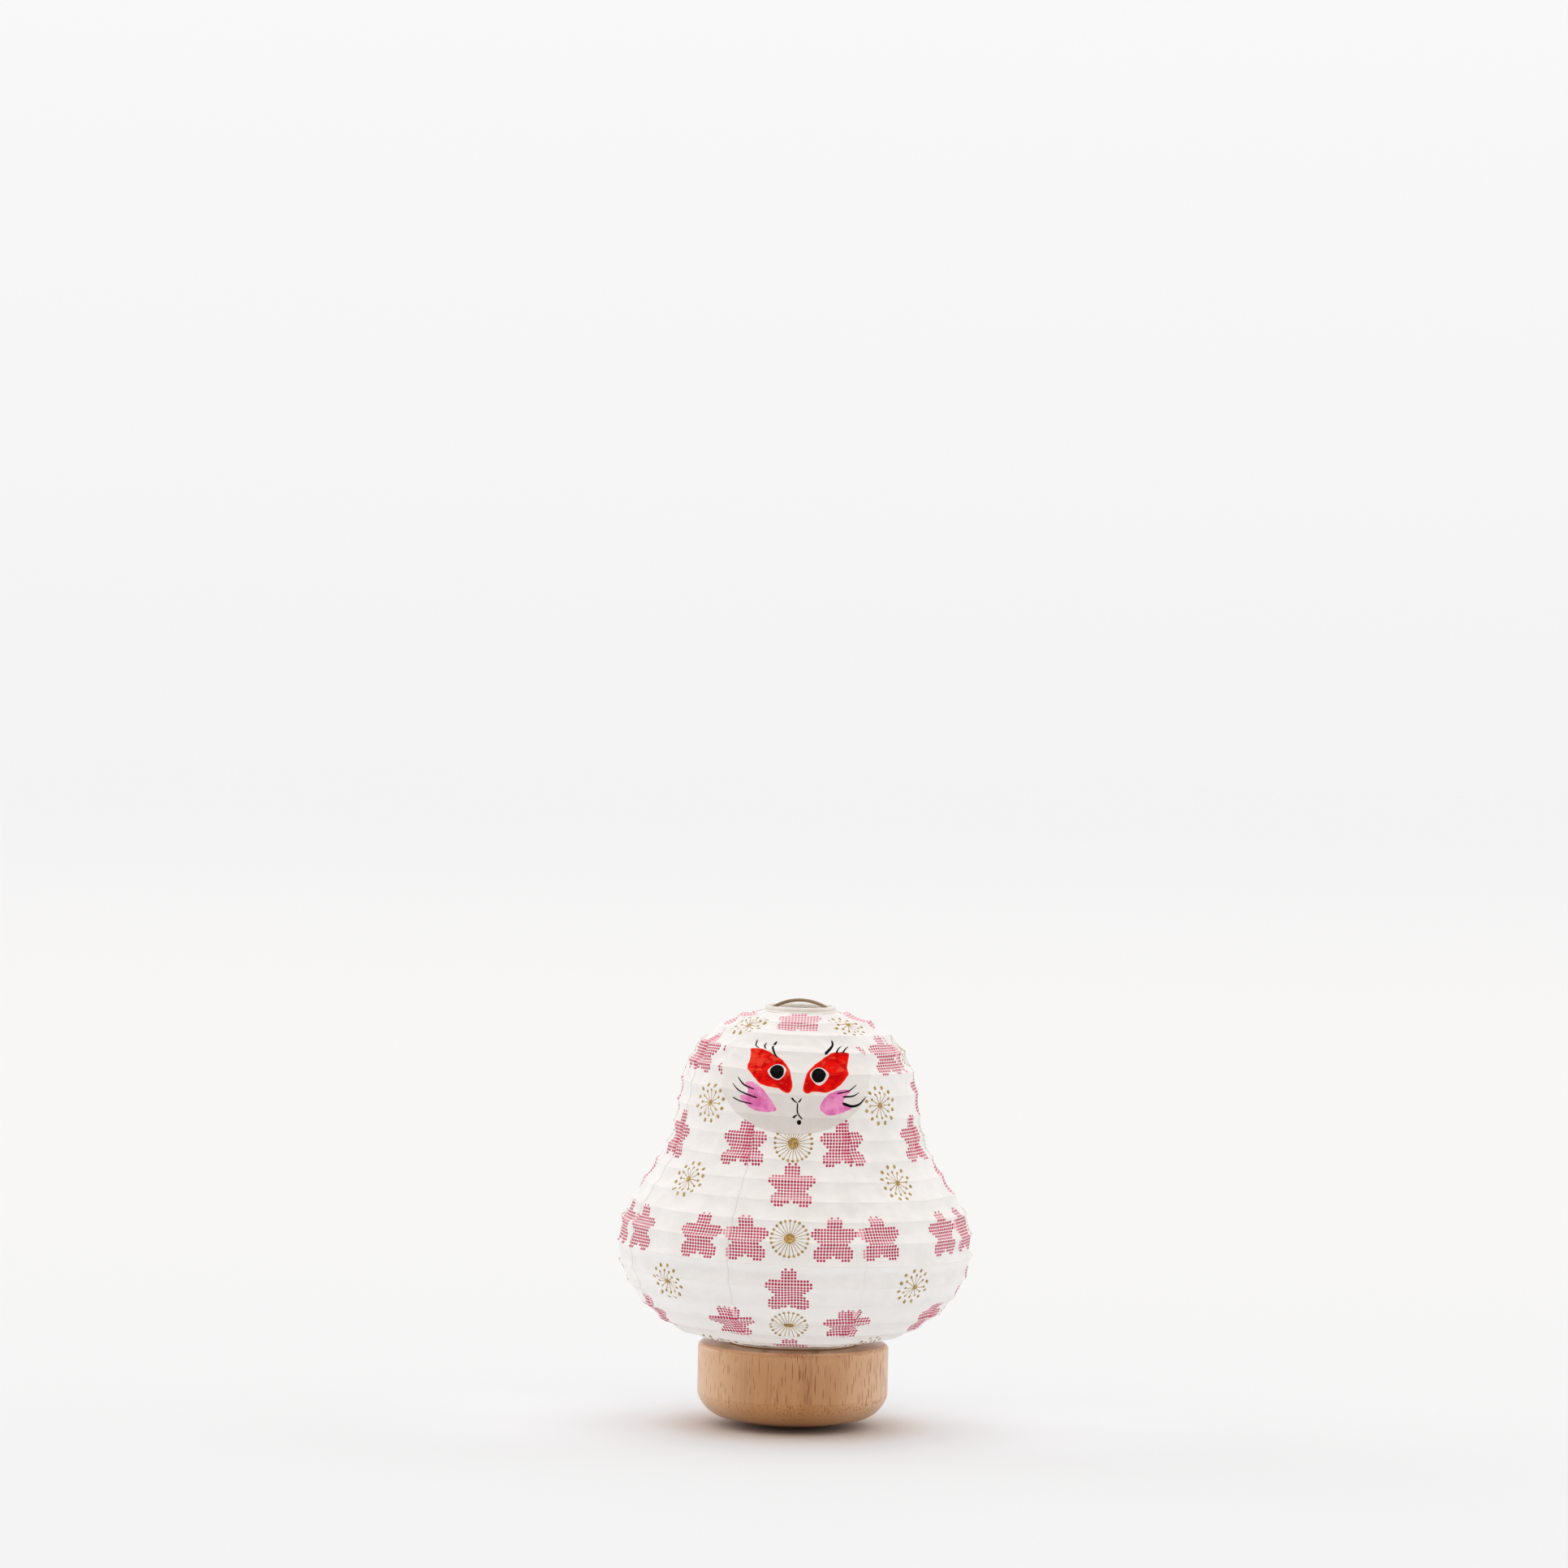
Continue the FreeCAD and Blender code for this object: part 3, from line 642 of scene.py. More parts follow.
def stroke_coordinates(faces, front, drawn):
    """Distance across the nearest stroke, and its half width, at each face's corners."""
    ink = np.full((len(faces), 4, 2), FAR_AWAY)
    ink[..., 1] = 0
    best = np.full(front, STROKE_REACH)
    for stroke, widths in STROKES:
        distance, side, share = nearest_on(curve_through(stroke), drawn)
        half = np.interp(share, [0, 0.06, 0.5, 0.94, 1], [0, *widths, 0]) * STROKE_WEIGHT
        middle = distance[faces[:front]].mean(1)
        nearer = middle < best
        best[nearer] = middle[nearer]
        chosen = faces[:front][nearer]
        ink[:front][nearer] = np.stack([(distance * side)[chosen], half[chosen]], -1)
    return ink


# ---- rib, threads, rings

def inside_paper(theta, s, depth, clear=0.0):
    """Points at a depth inside the ridges of the paper, or clear of it where it sags."""
    points, normals = on_outline(theta, s)
    out = WOBBLE * wobble(points) - SURFACE_DEPTH - depth
    if clear:
        out = np.minimum(out, relief(theta, s) - PAPER - clear)
    return points + normals * out[..., None]


def make_spiral_rib(material):
    """One coated wire that winds from the top ring down to the hem."""
    theta = np.linspace(0, TAU * RIB_TURNS, 120 * RIB_TURNS)
    s = length_at_turn(theta, 0.0)
    path = inside_paper(theta, s, PAPER + RIB_RADIUS)
    hang(make_piece("rib_spiral", *tube_mesh(path, RIB_RADIUS, 8), "lantern", "rib_wire",
                    "spiral_rib", material))


def make_threads(material):
    """Threads down the middle of each gore, knotted to every turn of the rib."""
    s = np.linspace(5, outline.length - 5, 420)
    threads = []
    for gore in range(GORES):
        theta = FRONT + gore * GORE_ANGLE + 0 * s
        path = inside_paper(theta, s, PAPER + 2 * RIB_RADIUS + THREAD_DEPTH, THREAD_CLEAR)
        part = rib_turn(theta, s) % 1
        knot = np.exp(-(np.minimum(part, 1 - part) / KNOT_LENGTH) ** 2)
        radius = (THREAD_RADIUS + KNOT_RISE * knot)[:, None] * np.ones(6)
        threads.append(tube_mesh(path, radius, 6))
    hang(make_piece("threads", *joined_meshes(threads), "lantern", "cotton_thread",
                    "rib_threads", material))


def make_binding(material):
    """Paper strip wound round the top ring: overlapping turns, pressed down by hand."""
    around = np.linspace(0, TAU, BINDING_STEPS, endpoint=False)
    outward = circle(1, around, 0)
    turn = np.arange(BINDING_SIDES) * TAU / BINDING_SIDES
    rise = 0.015 * np.sin(3 * around + 0.7) + 0.01 * np.sin(7 * around + 2.0)
    radius = TOP_RING_RADIUS + 0.015 * np.sin(5 * around + 1.0)
    path = circle(radius, around, TOP_RING_Z + rise)
    strip = STRIP_TURNS * around[:, None] + turn + 0.5 * np.sin(9 * around)[:, None]
    strip = strip / TAU % 1
    lap = 0.06 * smooth(strip, 0, 0.07) * (1 - strip)
    ring = np.cos(turn)[:, None] * outward[:, None]
    ring[..., 2] = np.sin(turn)
    surface = path[:, None] + BINDING_RADIUS * ring
    lumps = 0.02 * Waves(2.5, 7, 12)(surface) + 0.015 * Waves(1, 2.5, 12)(surface)
    strip = tube_mesh(path, BINDING_RADIUS + lap + lumps, BINDING_SIDES, True)
    make_piece("top_binding_strip", *joined_meshes([strip, binding_collar()]), "lantern",
               "binding_paper", "top_binding", material)


def binding_collar():
    """Lower edge of the strip, pasted down over the edge of the gores."""
    theta = np.linspace(0, TAU, 361)
    pasted = 1.5 + 0.25 * np.sin(5 * theta) + 0.15 * np.sin(11 * theta + 1.0)
    s = np.linspace(0, 1, 6)[:, None] * pasted
    on_paper, _ = paper_points(theta + 0 * s, s, LAP_STEP + COLLAR_RISE)
    upper = [circle(TOP_RING_RADIUS + out, theta, TOP_RING_Z + up) for out, up in COLLAR_FOLD]
    outer = np.concatenate([upper, on_paper])
    points, faces, _ = sheet_mesh(outer, outer - [0, 0, COLLAR_PAPER])
    return points, faces.tolist()


def make_hem_ties(material):
    """Paper tabs at the seams, folded down from the paper's edge and over the hem ring."""
    fold = curve_through(TAB_PROFILE, 8)
    ahead = np.gradient(fold, axis=0)
    ahead /= np.linalg.norm(ahead, axis=1, keepdims=True)
    normal = np.stack([-ahead[:, 1], ahead[:, 0]], -1)
    tabs = []
    for gore in range(GORES):
        middle = FRONT + (gore + 0.5) * GORE_ANGLE + rng.uniform(-0.02, 0.02)
        width = rng.uniform(*TAB_WIDTHS)
        across = np.linspace(-width / 2, width / 2, 9)
        layers = []
        for depth in (0.0, TAB_PAPER):
            r, z = (fold - normal * depth).T[:, :, None]
            curl = 0.05 * np.sin(across * 2.3)
            layers.append(circle(r + curl, middle + across / HEM_RADIUS, z))
        points, faces, _ = sheet_mesh(layers[1], layers[0])
        tabs.append((points, faces.tolist()))
    make_piece("hem_tabs", *joined_meshes(tabs), "hem", "binding_paper", "hem_ties", material)


# ---- materials

def srgb(*levels):
    """Linear colour from display levels of 0 to 255."""
    shares = [level / 255 for level in levels]
    linear = [s / 12.92 if s <= 0.04045 else ((s + 0.055) / 1.055) ** 2.4 for s in shares]
    return (*linear, 1.0)


class Term:
    """A shader value that can be used in sums."""

    def __init__(self, graph, socket):
        self.graph, self.socket = graph, socket

    def __add__(self, other):
        return self.graph.math("ADD", self, other)

    def __sub__(self, other):
        return self.graph.math("SUBTRACT", self, other)

    def __rsub__(self, other):
        return self.graph.math("SUBTRACT", other, self)

    def __mul__(self, other):
        return self.graph.math("MULTIPLY", self, other)

    def __truediv__(self, other):
        return self.graph.math("DIVIDE", self, other)

    def __abs__(self):
        return self.graph.math("ABSOLUTE", self)

    __radd__, __rmul__ = __add__, __mul__


class Graph:
    """Shader nodes of one material or world, made by short calls."""

    def __init__(self, name, owner=None, **surface):
        self.owner = owner or bpy.data.materials.new(name)
        self.owner.use_nodes = True
        self.tree = self.owner.node_tree
        if owner is None:
            self.shader = self.tree.nodes["Principled BSDF"]
            for socket, value in surface.items():
                self.set(socket, value)

    def plug(self, socket, value):
        """Link or value into a socket."""
        if isinstance(value, Term):
            self.tree.links.new(value.socket, socket)
        else:
            socket.default_value = value

    def set(self, socket, value):
        """Value of a socket of the main shader, as base_color for Base Color."""
        names = {"specular": "Specular IOR Level"}
        self.plug(self.shader.inputs[names.get(socket, socket.replace("_", " ").title())], value)

    def node(self, kind, inputs, output=0, **settings):
        """One of a new node's outputs. Its inputs are keyed by name or number."""
        made = self.tree.nodes.new("ShaderNode" + kind)
        for name, value in settings.items():
            setattr(made, name, value)
        for key, value in inputs.items():
            self.plug(made.inputs[key], value)
        return Term(self, made.outputs[output])

    def math(self, operation, *values):
        return self.node("Math", dict(enumerate(values)), operation=operation)

    def most(self, first, *others):
        """The greatest of several values."""
        for other in others:
            first = self.math("MAXIMUM", first, other)
        return first

    def smooth(self, value, low, high):
        """The same step as the function smooth makes."""
        limits = {"Value": value, "From Min": low, "From Max": high}
        return self.node("MapRange", limits, interpolation_type="SMOOTHSTEP", clamp=True)

    def mix(self, factor, a, b, blend="MIX"):
        """Blend from one colour to another. Each is a term or display levels."""
        a, b = [c if isinstance(c, Term) else srgb(*c) for c in (a, b)]
        return self.node("Mix", {0: factor, 6: a, 7: b}, 2, data_type="RGBA", blend_type=blend)

    def place(self, scale=1):
        """Position in millimetres in the frame's axes, times a scale or one for each axis."""
        scales = scale if isinstance(scale, tuple) else (scale,) * 3
        where = self.node("TexCoord", {}, 3)
        scales = [k / MM for k in scales]
        return self.node("VectorMath", {0: where, 1: scales}, operation="MULTIPLY")

    def parts(self, vector):
        """The x, y and z of a vector."""
        split = self.node("SeparateXYZ", {0: vector})
        return [Term(self, socket) for socket in split.socket.node.outputs]

    def uv(self, name):
        """Both coordinates of a UV map."""
        return self.parts(self.node("UVMap", {}, uv_map=name))[:2]

    def facing_up(self):
        """Vertical part of the surface's normal: 1 where it is level and looks up."""
        return self.parts(self.node("NewGeometry", {}, 1))[2]

    def length(self, x, y):
        """Length of a vector from its two parts."""
        squares = self.math("POWER", x, 2) + self.math("POWER", y, 2)
        return self.math("SQRT", squares)

    def noise(self, scale, detail=3.0, roughness=0.55):
        inputs = {"Vector": self.place(scale), "Scale": 1.0, "Detail": detail,
                  "Roughness": roughness}
        return self.node("TexNoise", inputs)

    def cells(self, scale, feature="F1", randomness=1.0):
        inputs = {"Vector": self.place(scale), "Scale": 1.0, "Randomness": randomness}
        return self.node("TexVoronoi", inputs, feature=feature)

    def steps(self, factor, values, most):
        """A table of levels between 0 and most, constant over each equal part."""
        made = self.node("ValToRGB", {"Fac": factor})
        ramp = made.socket.node.color_ramp
        ramp.interpolation = "CONSTANT"
        while len(ramp.elements) < len(values):
            ramp.elements.new(0.5)
        for n, value in enumerate(values):
            ramp.elements[n].position = n / len(values)
            ramp.elements[n].color = (value / most,) * 3 + (1,)
        return made * most

    def bump(self, height, depth_mm, strength):
        inputs = {"Height": height, "Distance": depth_mm * MM, "Strength": strength}
        self.set("normal", self.node("Bump", inputs))


# columns of dots on each side of a star's middle, and those left out at the middle,
# for each row from the top down
STAR_COLUMNS = [1, 2, 2, 2, 6, 7, 7, 6, 5, 4, 5, 6, 6, 6, 5]
STAR_GAP = [1, 0, 0, 0, 0, 0, 0, 0, 0, 0, 0, 0, 0, 1, 3]
STAR_MOST = 8  # more than any of them
INK_EDGE = 0.05  # half width of the soft edge of the ink
POMPOM_SPOKES = 24
DANDELION_SPOKES = 12


def star_ink(g, uv_name):
    """Cover of a star of round dots on a square pitch."""
    x, y = g.uv(uv_name)
    column, row = g.math("ROUND", x / DOT_PITCH), g.math("ROUND", y / DOT_PITCH)
    from_dot = g.length(x - column * DOT_PITCH, y - row * DOT_PITCH)
    dot = g.smooth(from_dot, DOT_RADIUS + INK_EDGE, DOT_RADIUS - INK_EDGE)
    bleed = g.smooth(from_dot, DOT_RADIUS + DOT_BLEED, DOT_RADIUS - 0.1) * 0.22
    rows = len(STAR_COLUMNS)
    place = (row + rows / 2) / rows
    widest = g.steps(place, STAR_COLUMNS, STAR_MOST)
    gap = g.steps(place, STAR_GAP, STAR_MOST)
    within = g.math("LESS_THAN", abs(column), widest + 0.5)
    outside_gap = g.math("GREATER_THAN", abs(column), gap - 0.5)
    on_rows = g.math("LESS_THAN", abs(row), rows / 2)
    return g.most(dot, bleed) * within * outside_gap * on_rows


def sector(g, x, y, count, turn=0.0):
    """Distance along and beside the nearest of a number of equal spokes."""
    angle = g.math("ARCTAN2", x, y) * (count / TAU) - turn
    local = (angle - g.math("ROUND", angle)) * (TAU / count)
    radius = g.length(x, y)
    return radius * g.math("COSINE", local), abs(radius * g.math("SINE", local)), radius


def blob(g, along, beside, at, length, width):
    """Cover of an oval dot on a spoke."""
    return g.smooth(g.length((along - at) / length, beside / width), 1.12, 0.88)


def spoke(g, along, beside, start, stop, half):
    """Cover of a straight spoke of a half width, between two distances out."""
    line = g.smooth(beside, half + INK_EDGE, half - INK_EDGE)
    return line * g.math("GREATER_THAN", along, start) * g.math("LESS_THAN", along, stop)


def pompom_ink(g):
    """Cover of a seed head: a disc, and spokes that end in dots."""
    along, beside, radius = sector(g, *g.uv("pompom"), POMPOM_SPOKES)
    disc = g.smooth(radius, 2, 1.86)
    return g.most(disc, spoke(g, along, beside, start=1.6, stop=6.4, half=0.12),
                  blob(g, along, beside, at=6.45, length=0.52, width=0.5))


def dandelion_ink(g):
    """Cover of an open seed head: a blob, short spokes, and dots between them further out."""
    x, y = g.uv("dandelion")
    along, beside, radius = sector(g, x, y, DANDELION_SPOKES)
    out_along, out_beside, _ = sector(g, x, y, DANDELION_SPOKES, turn=0.5)
    middle = g.smooth(radius, 1.06, 0.92)
    return g.most(middle, spoke(g, along, beside, start=0.6, stop=4.3, half=0.14),
                  blob(g, along, beside, at=4.35, length=0.52, width=0.46),
                  blob(g, out_along, out_beside, at=6.3, length=0.74, width=0.62))


PAPER_WHITE = (246, 244, 243)
PAPER_SHADE = (239, 237, 235)
RASPBERRY = (180, 40, 78)
RASPBERRY_PALE = (226, 88, 128)
PAINTED_GLOW_COLOUR = srgb(255, 246, 234)  # painted glow: emission on the gores' inner faces, in place of daylight that comes through the paper
PAINTED_GLOW_STRENGTH = 0.22
GOLD = (146, 108, 36)
GOLD_LIGHT = (212, 182, 104)
PAINT_EDGE = (-0.07, 0.07)  # distances between which brushed paint begins


def washi(g, light, shade):
    """Colour and height of handmade paper: clouds, and long thin fibres."""
    clouds = g.noise(0.12, 4)
    speckle = g.noise(1.4, 4, 0.7)
    fibres = g.cells((0.9, 0.9, 0.35), "DISTANCE_TO_EDGE")
    fibre = g.smooth(fibres, 0.035, 0)
    colour = g.mix(g.smooth(clouds * 0.7 + speckle * 0.3, 0.36, 0.64), shade, light)
    height = speckle * 0.7 + fibre * 0.25 + g.noise(0.45) * 0.8
    return colour, height, speckle


def printed_paper():
    """White paper with pink dotted stars and gold seed heads. Painted light: the paper is
    lighter where it faces down, and the stars pale where they face up, a painted glare.
    """
    g = Graph("printed_washi", specular=0.05)
    colour, height, speckle = washi(g, PAPER_WHITE, PAPER_SHADE)
    facing_up = g.facing_up()
    # painted light: paper that faces down is made lighter
    painted_underside_light = g.smooth(facing_up, -0.1, -0.6)
    colour = g.mix(painted_underside_light * 0.8, colour, (254, 252, 250))
    colour = g.mix(star_ink(g, "star_below") * 0.75, colour, RASPBERRY_PALE)
    # painted glare: the stars are paler where the paper faces up
    painted_glare = g.smooth(facing_up, 0.4, 0.92)
    patchy = g.smooth(g.noise(0.35) + speckle * 0.3, 0.5, 0.85)
    pink = g.mix(g.most(patchy * 0.6, painted_glare), RASPBERRY, RASPBERRY_PALE)
    colour = g.mix(star_ink(g, "star") * (1.0 - painted_glare * 0.25), colour, pink)
    gold_ink = g.most(pompom_ink(g), dandelion_ink(g))
    gold = g.mix(g.smooth(speckle, 0.4, 0.66), GOLD, GOLD_LIGHT)
    colour = g.mix(gold_ink * 0.95, colour, gold)
    g.set("base_color", colour)
    g.set("metallic", gold_ink * 0.35)
    g.set("roughness", 0.85 - gold_ink * 0.35)
    g.bump(height, 0.06, 0.7)
    return g.owner


def face_paper():
    """Greyer paper with the brushed face: watery paint over the ribs, and ink strokes."""
    g = Graph("painted_washi", specular=0.05)
    colour, height, speckle = washi(g, (237, 233, 231), (228, 223, 220))
    x, _, z = g.parts(g.place())
    colour = g.mix(1.0, colour, (246, 243, 241), "MULTIPLY")
    # painted shade: the sheet is darker towards its lower edge on the neck, lighter towards the
    # top
    colour = g.mix(g.smooth(z, 108, 132) * 0.85, colour, PAPER_WHITE)
    paint = g.node("Attribute", {}, attribute_name="paint")
    pupil = Term(g, paint.socket.node.outputs["Alpha"])
    red, pink, white = g.parts(paint)
    water = g.noise((0.24, 0.24, 0.3), 3, 0.5)
    pools = g.noise((0.2, 0.2, 0.34), 4, 0.55)
    thin = g.smooth(z - x * 1.2, 138, 152)
    red_paint = g.mix(g.smooth(water, 0.42, 0.58), (208, 2, 5), (240, 16, 8))
    red_paint = g.mix(g.smooth(pools, 0.54, 0.64) * 0.7, red_paint, (182, 0, 3))
    red_paint = g.mix(g.smooth(pools + thin * 0.15, 0.53, 0.65) * 0.8, red_paint, (252, 72, 48))
    red_paint = g.mix(g.smooth(red, 0.6, 0.1) * 0.6, red_paint, (252, 70, 36))
    wash = g.smooth(water + speckle * 0.35, 0.5, 0.8)
    pink_paint = g.mix(wash, (222, 102, 174), (244, 150, 202))
    pink_paint = g.mix(g.smooth(pools, 0.52, 0.68) * 0.7, pink_paint, (206, 84, 150))
    colour = g.mix(g.smooth(pink, *PAINT_EDGE) * 0.96, colour, pink_paint)
    colour = g.mix(g.smooth(red, *PAINT_EDGE), colour, red_paint)
    colour = g.mix(g.smooth(white, *PAINT_EDGE) * 0.96, colour, (232, 228, 226))
    across, half = g.uv("ink")
    stroke = g.smooth(half - abs(across), -0.03, 0.05)
    black = g.most(g.smooth(pupil, *PAINT_EDGE), stroke)
    ink = g.mix(g.smooth(speckle, 0.42, 0.7) * 0.4, (6, 6, 7), (34, 32, 32))
    colour = g.mix(black, colour, ink)
    painted = g.smooth(g.most(red, pink), *PAINT_EDGE)
    g.set("base_color", colour)
    g.set("roughness", 0.85 - painted * 0.15 - black * 0.2)
    g.bump(height, 0.06, 0.7)
    return g.owner


def plain_paper(name, light, shade, **surface):
    """Paper without print."""
    g = Graph(name, roughness=0.85, specular=0.1, **surface)
    colour, height, _ = washi(g, light, shade)
    g.set("base_color", colour)
    g.bump(height, 0.05, 0.7)
    return g.owner


def pores(g, across, along, size):
    """Upright open pores: short thin dashes along the grain, one in each long cell."""
    middles = g.cells((1 / across, 1 / across, 1 / along))
    return g.smooth(middles, size, size * 0.5)


def wood():
    """Light hardwood with upright grain: soft bands, fine lines and open pores. Painted light
    and shade too: lighter at the sides, on the top face and just below it, darker towards the
    bottom.
    """
    g = Graph("rubberwood", specular=0.5, coat_weight=0.5, coat_roughness=0.22)
    bands = g.noise((0.07, 0.07, 0.004))
    lines = g.noise((0.9, 0.9, 0.02), 5, 0.65)
    fine = g.noise((6, 6, 0.2), 3, 0.6)
    tone = g.smooth(bands * 0.65 + lines * 0.35, 0.42, 0.58)
    colour = g.mix(tone, (194, 138, 83), (182, 125, 71))
    colour = g.mix(g.smooth(lines, 0.54, 0.68) * 0.5, colour, (156, 98, 48))
    colour = g.mix(g.smooth(fine, 0.45, 0.7) * 0.4, colour, (212, 162, 110))
    x, _, z = g.parts(g.place())
    # painted highlight: lighter towards the left and right sides
    colour = g.mix(g.smooth(abs(x), 8, 31) * 0.75, colour, (230, 188, 146))
    # painted shade: darker towards the bottom
    colour = g.mix(g.smooth(z, 12, 0.5) * 0.45, colour, (126, 80, 44))
    # painted light: the upward-facing top face is made much lighter
    painted_top_light = g.smooth(g.facing_up(), 0.5, 0.95)
    colour = g.mix(painted_top_light, colour, (250, 204, 164))
    # painted light: lighter just below the top rim, where the belly's shadow falls
    colour = g.mix(g.smooth(z, BASE_TOP - 9, BASE_TOP) * 0.35, colour, (224, 170, 122))
    patches = g.smooth(g.noise((0.1, 0.1, 0.03), 2), 0.42, 0.6)
    size = patches * 0.13 + 0.2
    dashes = g.most(pores(g, 0.75, 14, size), pores(g, 0.6, 8, size))
    dashes = dashes * g.smooth(z, 1, 11)
    colour = g.mix(dashes * 0.95, colour, (150, 82, 34))
    g.set("base_color", colour)
    g.set("roughness", 0.3 + fine * 0.12 + dashes * 0.3)
    g.bump(fine * 0.25 - dashes, 0.06, 0.6)
    return g.owner


def wire(name, light, dark, roughness):
    """Drawn wire: bright metal with fine lengthwise scratches and slight tarnish."""
    g = Graph(name, metallic=1.0)
    scratch = g.noise(9, 4, 0.7)
    tarnish = g.noise((0.08, 0.08, 0.05), 2)
    g.set("base_color", g.mix(g.smooth(tarnish, 0.35, 0.7) * 0.6, light, dark))
    g.set("roughness", roughness + scratch * 0.12)
    g.bump(scratch, 0.01, 0.5)
    return g.owner


def moulded(name, colour, shade, roughness, grain=0.02, **surface):
    """Plastic with a fine moulded grain and faint uneven tone."""
    g = Graph(name, **surface)
    specks = g.noise(6, 4, 0.6)
    tone = g.noise(0.25)
    g.set("base_color", g.mix(g.smooth(tone, 0.3, 0.7), colour, shade))
    g.set("roughness", roughness + specks * 0.15)
    g.bump(specks, grain, 0.6)
    return g.owner


def cotton():
    """Twisted thread."""
    g = Graph("twisted_cotton", roughness=0.9, specular=0.2)
    twist = g.noise((5, 5, 2.2))
    g.set("base_color", g.mix(g.smooth(twist, 0.4, 0.6), (214, 206, 192), (238, 233, 223)))
    g.bump(twist, 0.05, 0.8)
    return g.owner


def board():
    """Green solder mask with tinned tracks under it."""
    g = Graph("solder_mask", roughness=0.4, specular=0.5)
    tracks = g.cells((0.35, 0.35, 0.02), "DISTANCE_TO_EDGE", randomness=0.6)
    track = g.smooth(tracks, 0.05, 0.03)
    g.set("base_color", g.mix(track, (22, 92, 56), (60, 136, 84)))
    g.bump(track + g.noise(5) * 0.2, 0.03, 0.6)
    return g.owner


def cad_materials():
    """Finish of each of the record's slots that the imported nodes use."""
    return {
        "wood": wood(),
        "bow_wire": wire("bent_wire", (158, 138, 116), (116, 96, 76), 0.16),
        "bright_nickel": wire("nickel_wire", (252, 246, 236), (240, 230, 214), 0.3),
        "spring_nickel": wire("spring_strip", (206, 203, 196), (176, 172, 162), 0.28),
        "zinc_steel": wire("zinc_plate", (190, 193, 197), (150, 154, 160), 0.34),
        "cell_steel": wire("cell_can", (212, 212, 212), (188, 188, 190), 0.24),
        "brass": wire("turned_brass", (222, 184, 108), (186, 144, 72), 0.25),
        "black_plastic": moulded("black_moulding", (28, 28, 30), (36, 36, 38), 0.45),
        "ivory_plastic": moulded("ivory_moulding", (232, 225, 208), (222, 214, 196), 0.42),
        "frosted_plastic": moulded("frosted_cap", (243, 240, 234), (236, 232, 224), 0.38,
                                   0.03, transmission_weight=0.25),
        "led_resin": moulded("led_epoxy", (246, 226, 150), (240, 214, 120), 0.08,
                             0.004, transmission_weight=0.5),
        "board_green": board(),
    }


# ---- stage

CAMERA_PLACE = (-7.35, -2212.0, 308.0)
CAMERA_HEADING = 2.3  # degrees that this place is then turned round to the right
CAMERA_PITCH = 87.83
CAMERA_ROLL = 1.2
CAMERA_LENS = 145.85

WORLD_LEVEL = 0.74
WORLD_BEHIND = 0.172  # how much darker it is straight behind the camera
WORLD_RISE = 0.35
WORLD_ABOVE = 0.3
BACKDROP_EDGE = (0.88, 0.985)  # cosines between which the backdrop's glow begins
SOFTBOX_EDGE = (0.84, 0.97)
SOFTBOXES = [((-0.92, 0.36, 0.16), 1.0), ((0.92, 0.36, 0.16), 0.5)]
FLOOR_HALF = 6000.0


def make_camera():
    """Long lens from a little above, slightly rolled."""
    data = bpy.data.cameras.new("camera")
    data.lens = CAMERA_LENS
    data.sensor_width = 36.0
    data.clip_end = 50.0
    camera = new_object("camera", data)
    around = Matrix.Rotation(math.radians(CAMERA_HEADING), 4, "Z")
    place = Matrix.Translation([v * MM for v in CAMERA_PLACE])
    tilt = Matrix.Rotation(math.radians(CAMERA_PITCH), 4, "X")
    roll = Matrix.Rotation(math.radians(CAMERA_ROLL), 4, "Z")
    camera.matrix_world = around @ place @ tilt @ roll
    bpy.context.scene.camera = camera


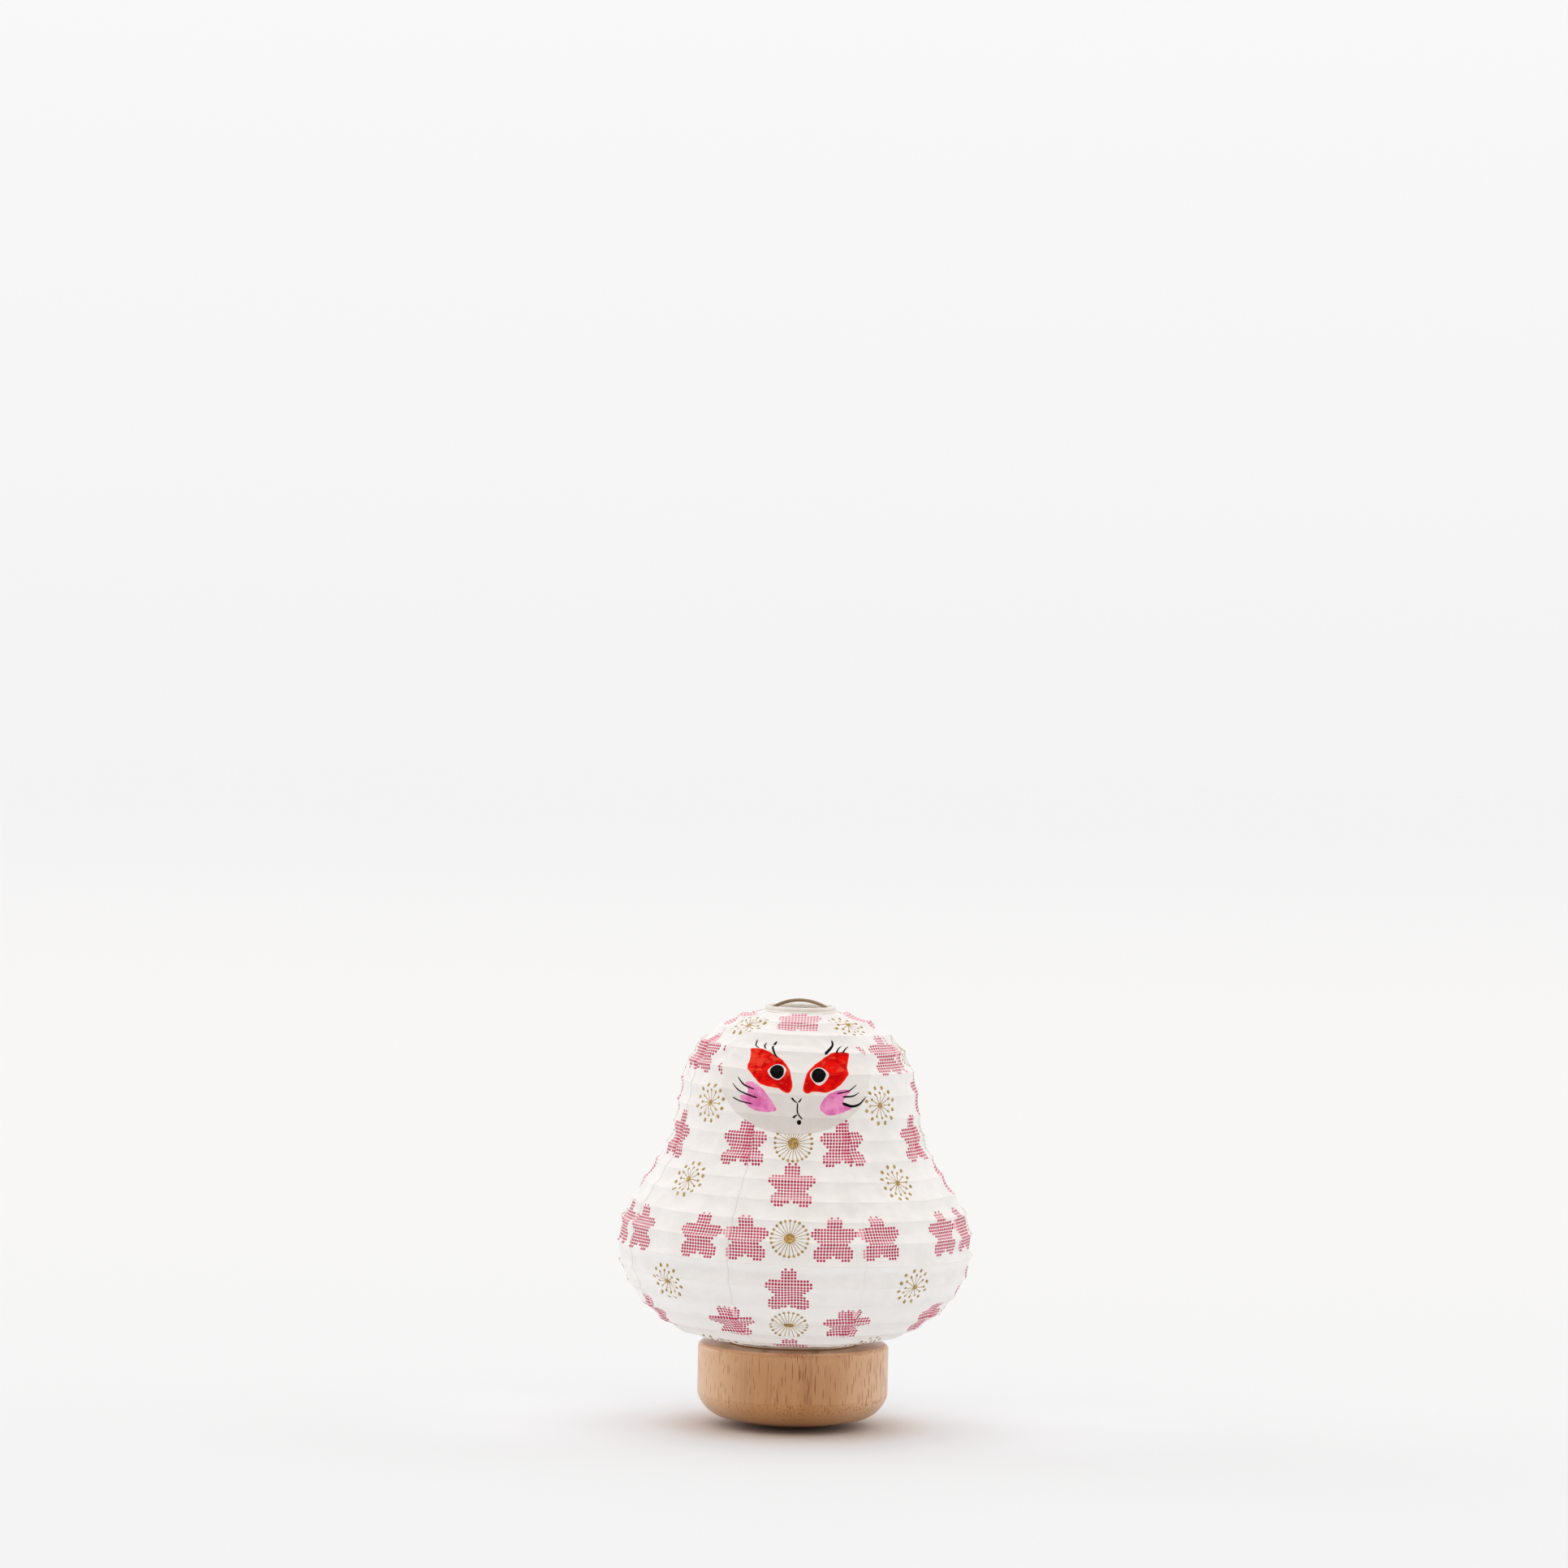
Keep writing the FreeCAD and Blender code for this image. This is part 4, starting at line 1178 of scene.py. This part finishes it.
def make_light():
    """White studio: bright overhead and on the backdrop, with a softbox on each side."""
    world = bpy.data.worlds.new("studio")
    bpy.context.scene.world = world
    g = Graph("studio", world)
    ray = g.node("TexCoord", {}, 0)
    x, y, z = g.parts(ray)
    level = WORLD_LEVEL + g.math("MINIMUM", y, 0) * WORLD_BEHIND
    level = level + z * WORLD_RISE + z * z * WORLD_ABOVE
    level = level + g.smooth(y, *BACKDROP_EDGE) * WORLD_BEHIND
    for toward, strength in SOFTBOXES:
        facing = g.node("VectorMath", {0: ray, 1: toward}, 1, operation="DOT_PRODUCT")
        level = level + g.smooth(facing, *SOFTBOX_EDGE) * strength
    background = g.tree.nodes["Background"]
    tint = g.mix(g.smooth(y, 0.2, -0.8), (255, 255, 255), (255, 247, 240))
    g.plug(background.inputs["Color"], tint)
    g.plug(background.inputs["Strength"], level)
    bpy.context.scene.view_settings.view_transform = "Standard"


def make_floor():
    """Wide pale sheet of paper, with painted light and shade: lighter further back and beside
    the base, and a warm painted shadow close to the base.
    """
    half = FLOOR_HALF * MM
    mesh = bpy.data.meshes.new("floor")
    corners = [(-half, -half, 0), (half, -half, 0), (half, half, 0), (-half, half, 0)]
    mesh.from_pydata(corners, [], [(0, 1, 2, 3)])
    new_object("floor", mesh)
    g = Graph("studio_paper", roughness=0.9, specular=0.1)
    clouds = g.noise(0.01, 2)
    x, y, _ = g.parts(g.place())
    # painted light: the floor is a little lighter further back, and greyer far off where it
    # meets the sky
    away = g.smooth(y + clouds * 30, -600, 900)
    # painted light: the floor is made lighter beside the base, filling its side shadows
    beside = g.smooth(abs(x), 18, 48) * g.smooth(abs(x), 170, 70)
    beside = beside * g.smooth(abs(y), 90, 20)
    colour = g.mix(away, (230, 232, 234), (234, 235, 236))
    colour = g.mix(g.smooth(y, 1200, 5000), colour, (230, 231, 233))
    colour = g.mix(beside * 0.6, colour, (241, 243, 247))
    # painted shadow: a warm, darker tone on the floor close round the base
    painted_warm_shadow = g.smooth(g.length(x, y), 54, 28) * 0.5
    g.set("base_color", g.mix(painted_warm_shadow, colour, (218, 200, 186)))
    mesh.materials.append(g.owner)


# ---- all pieces

make_camera()
make_light()
make_floor()

printed = printed_paper()
# painted glow: the inner face of each gore gives off a faint light, though the lantern is unlit
painted_glow_inside = plain_paper("washi_inside", PAPER_WHITE, PAPER_SHADE,
                         emission_color=PAINTED_GLOW_COLOUR, emission_strength=PAINTED_GLOW_STRENGTH)
for gore_number in range(GORES):
    make_gore(gore_number, printed, painted_glow_inside)
make_face_sheet(face_paper())
make_spiral_rib(moulded("coated_rib", (226, 224, 220), (210, 208, 204), 0.4, 0.01))
make_threads(cotton())
make_binding(plain_paper("binding_washi", (240, 237, 232), (228, 223, 216)))
# painted shade: the tabs' paper is coloured dark for the shadow that falls on them under the
# belly
make_hem_ties(plain_paper("tab_washi_painted_shade", (166, 148, 130), (140, 122, 104)))

finishes = cad_materials()
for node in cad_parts.values():
    if not node.hide_render:
        slot = node.data.materials[0].name
        node.data.materials[0] = finishes[slot]
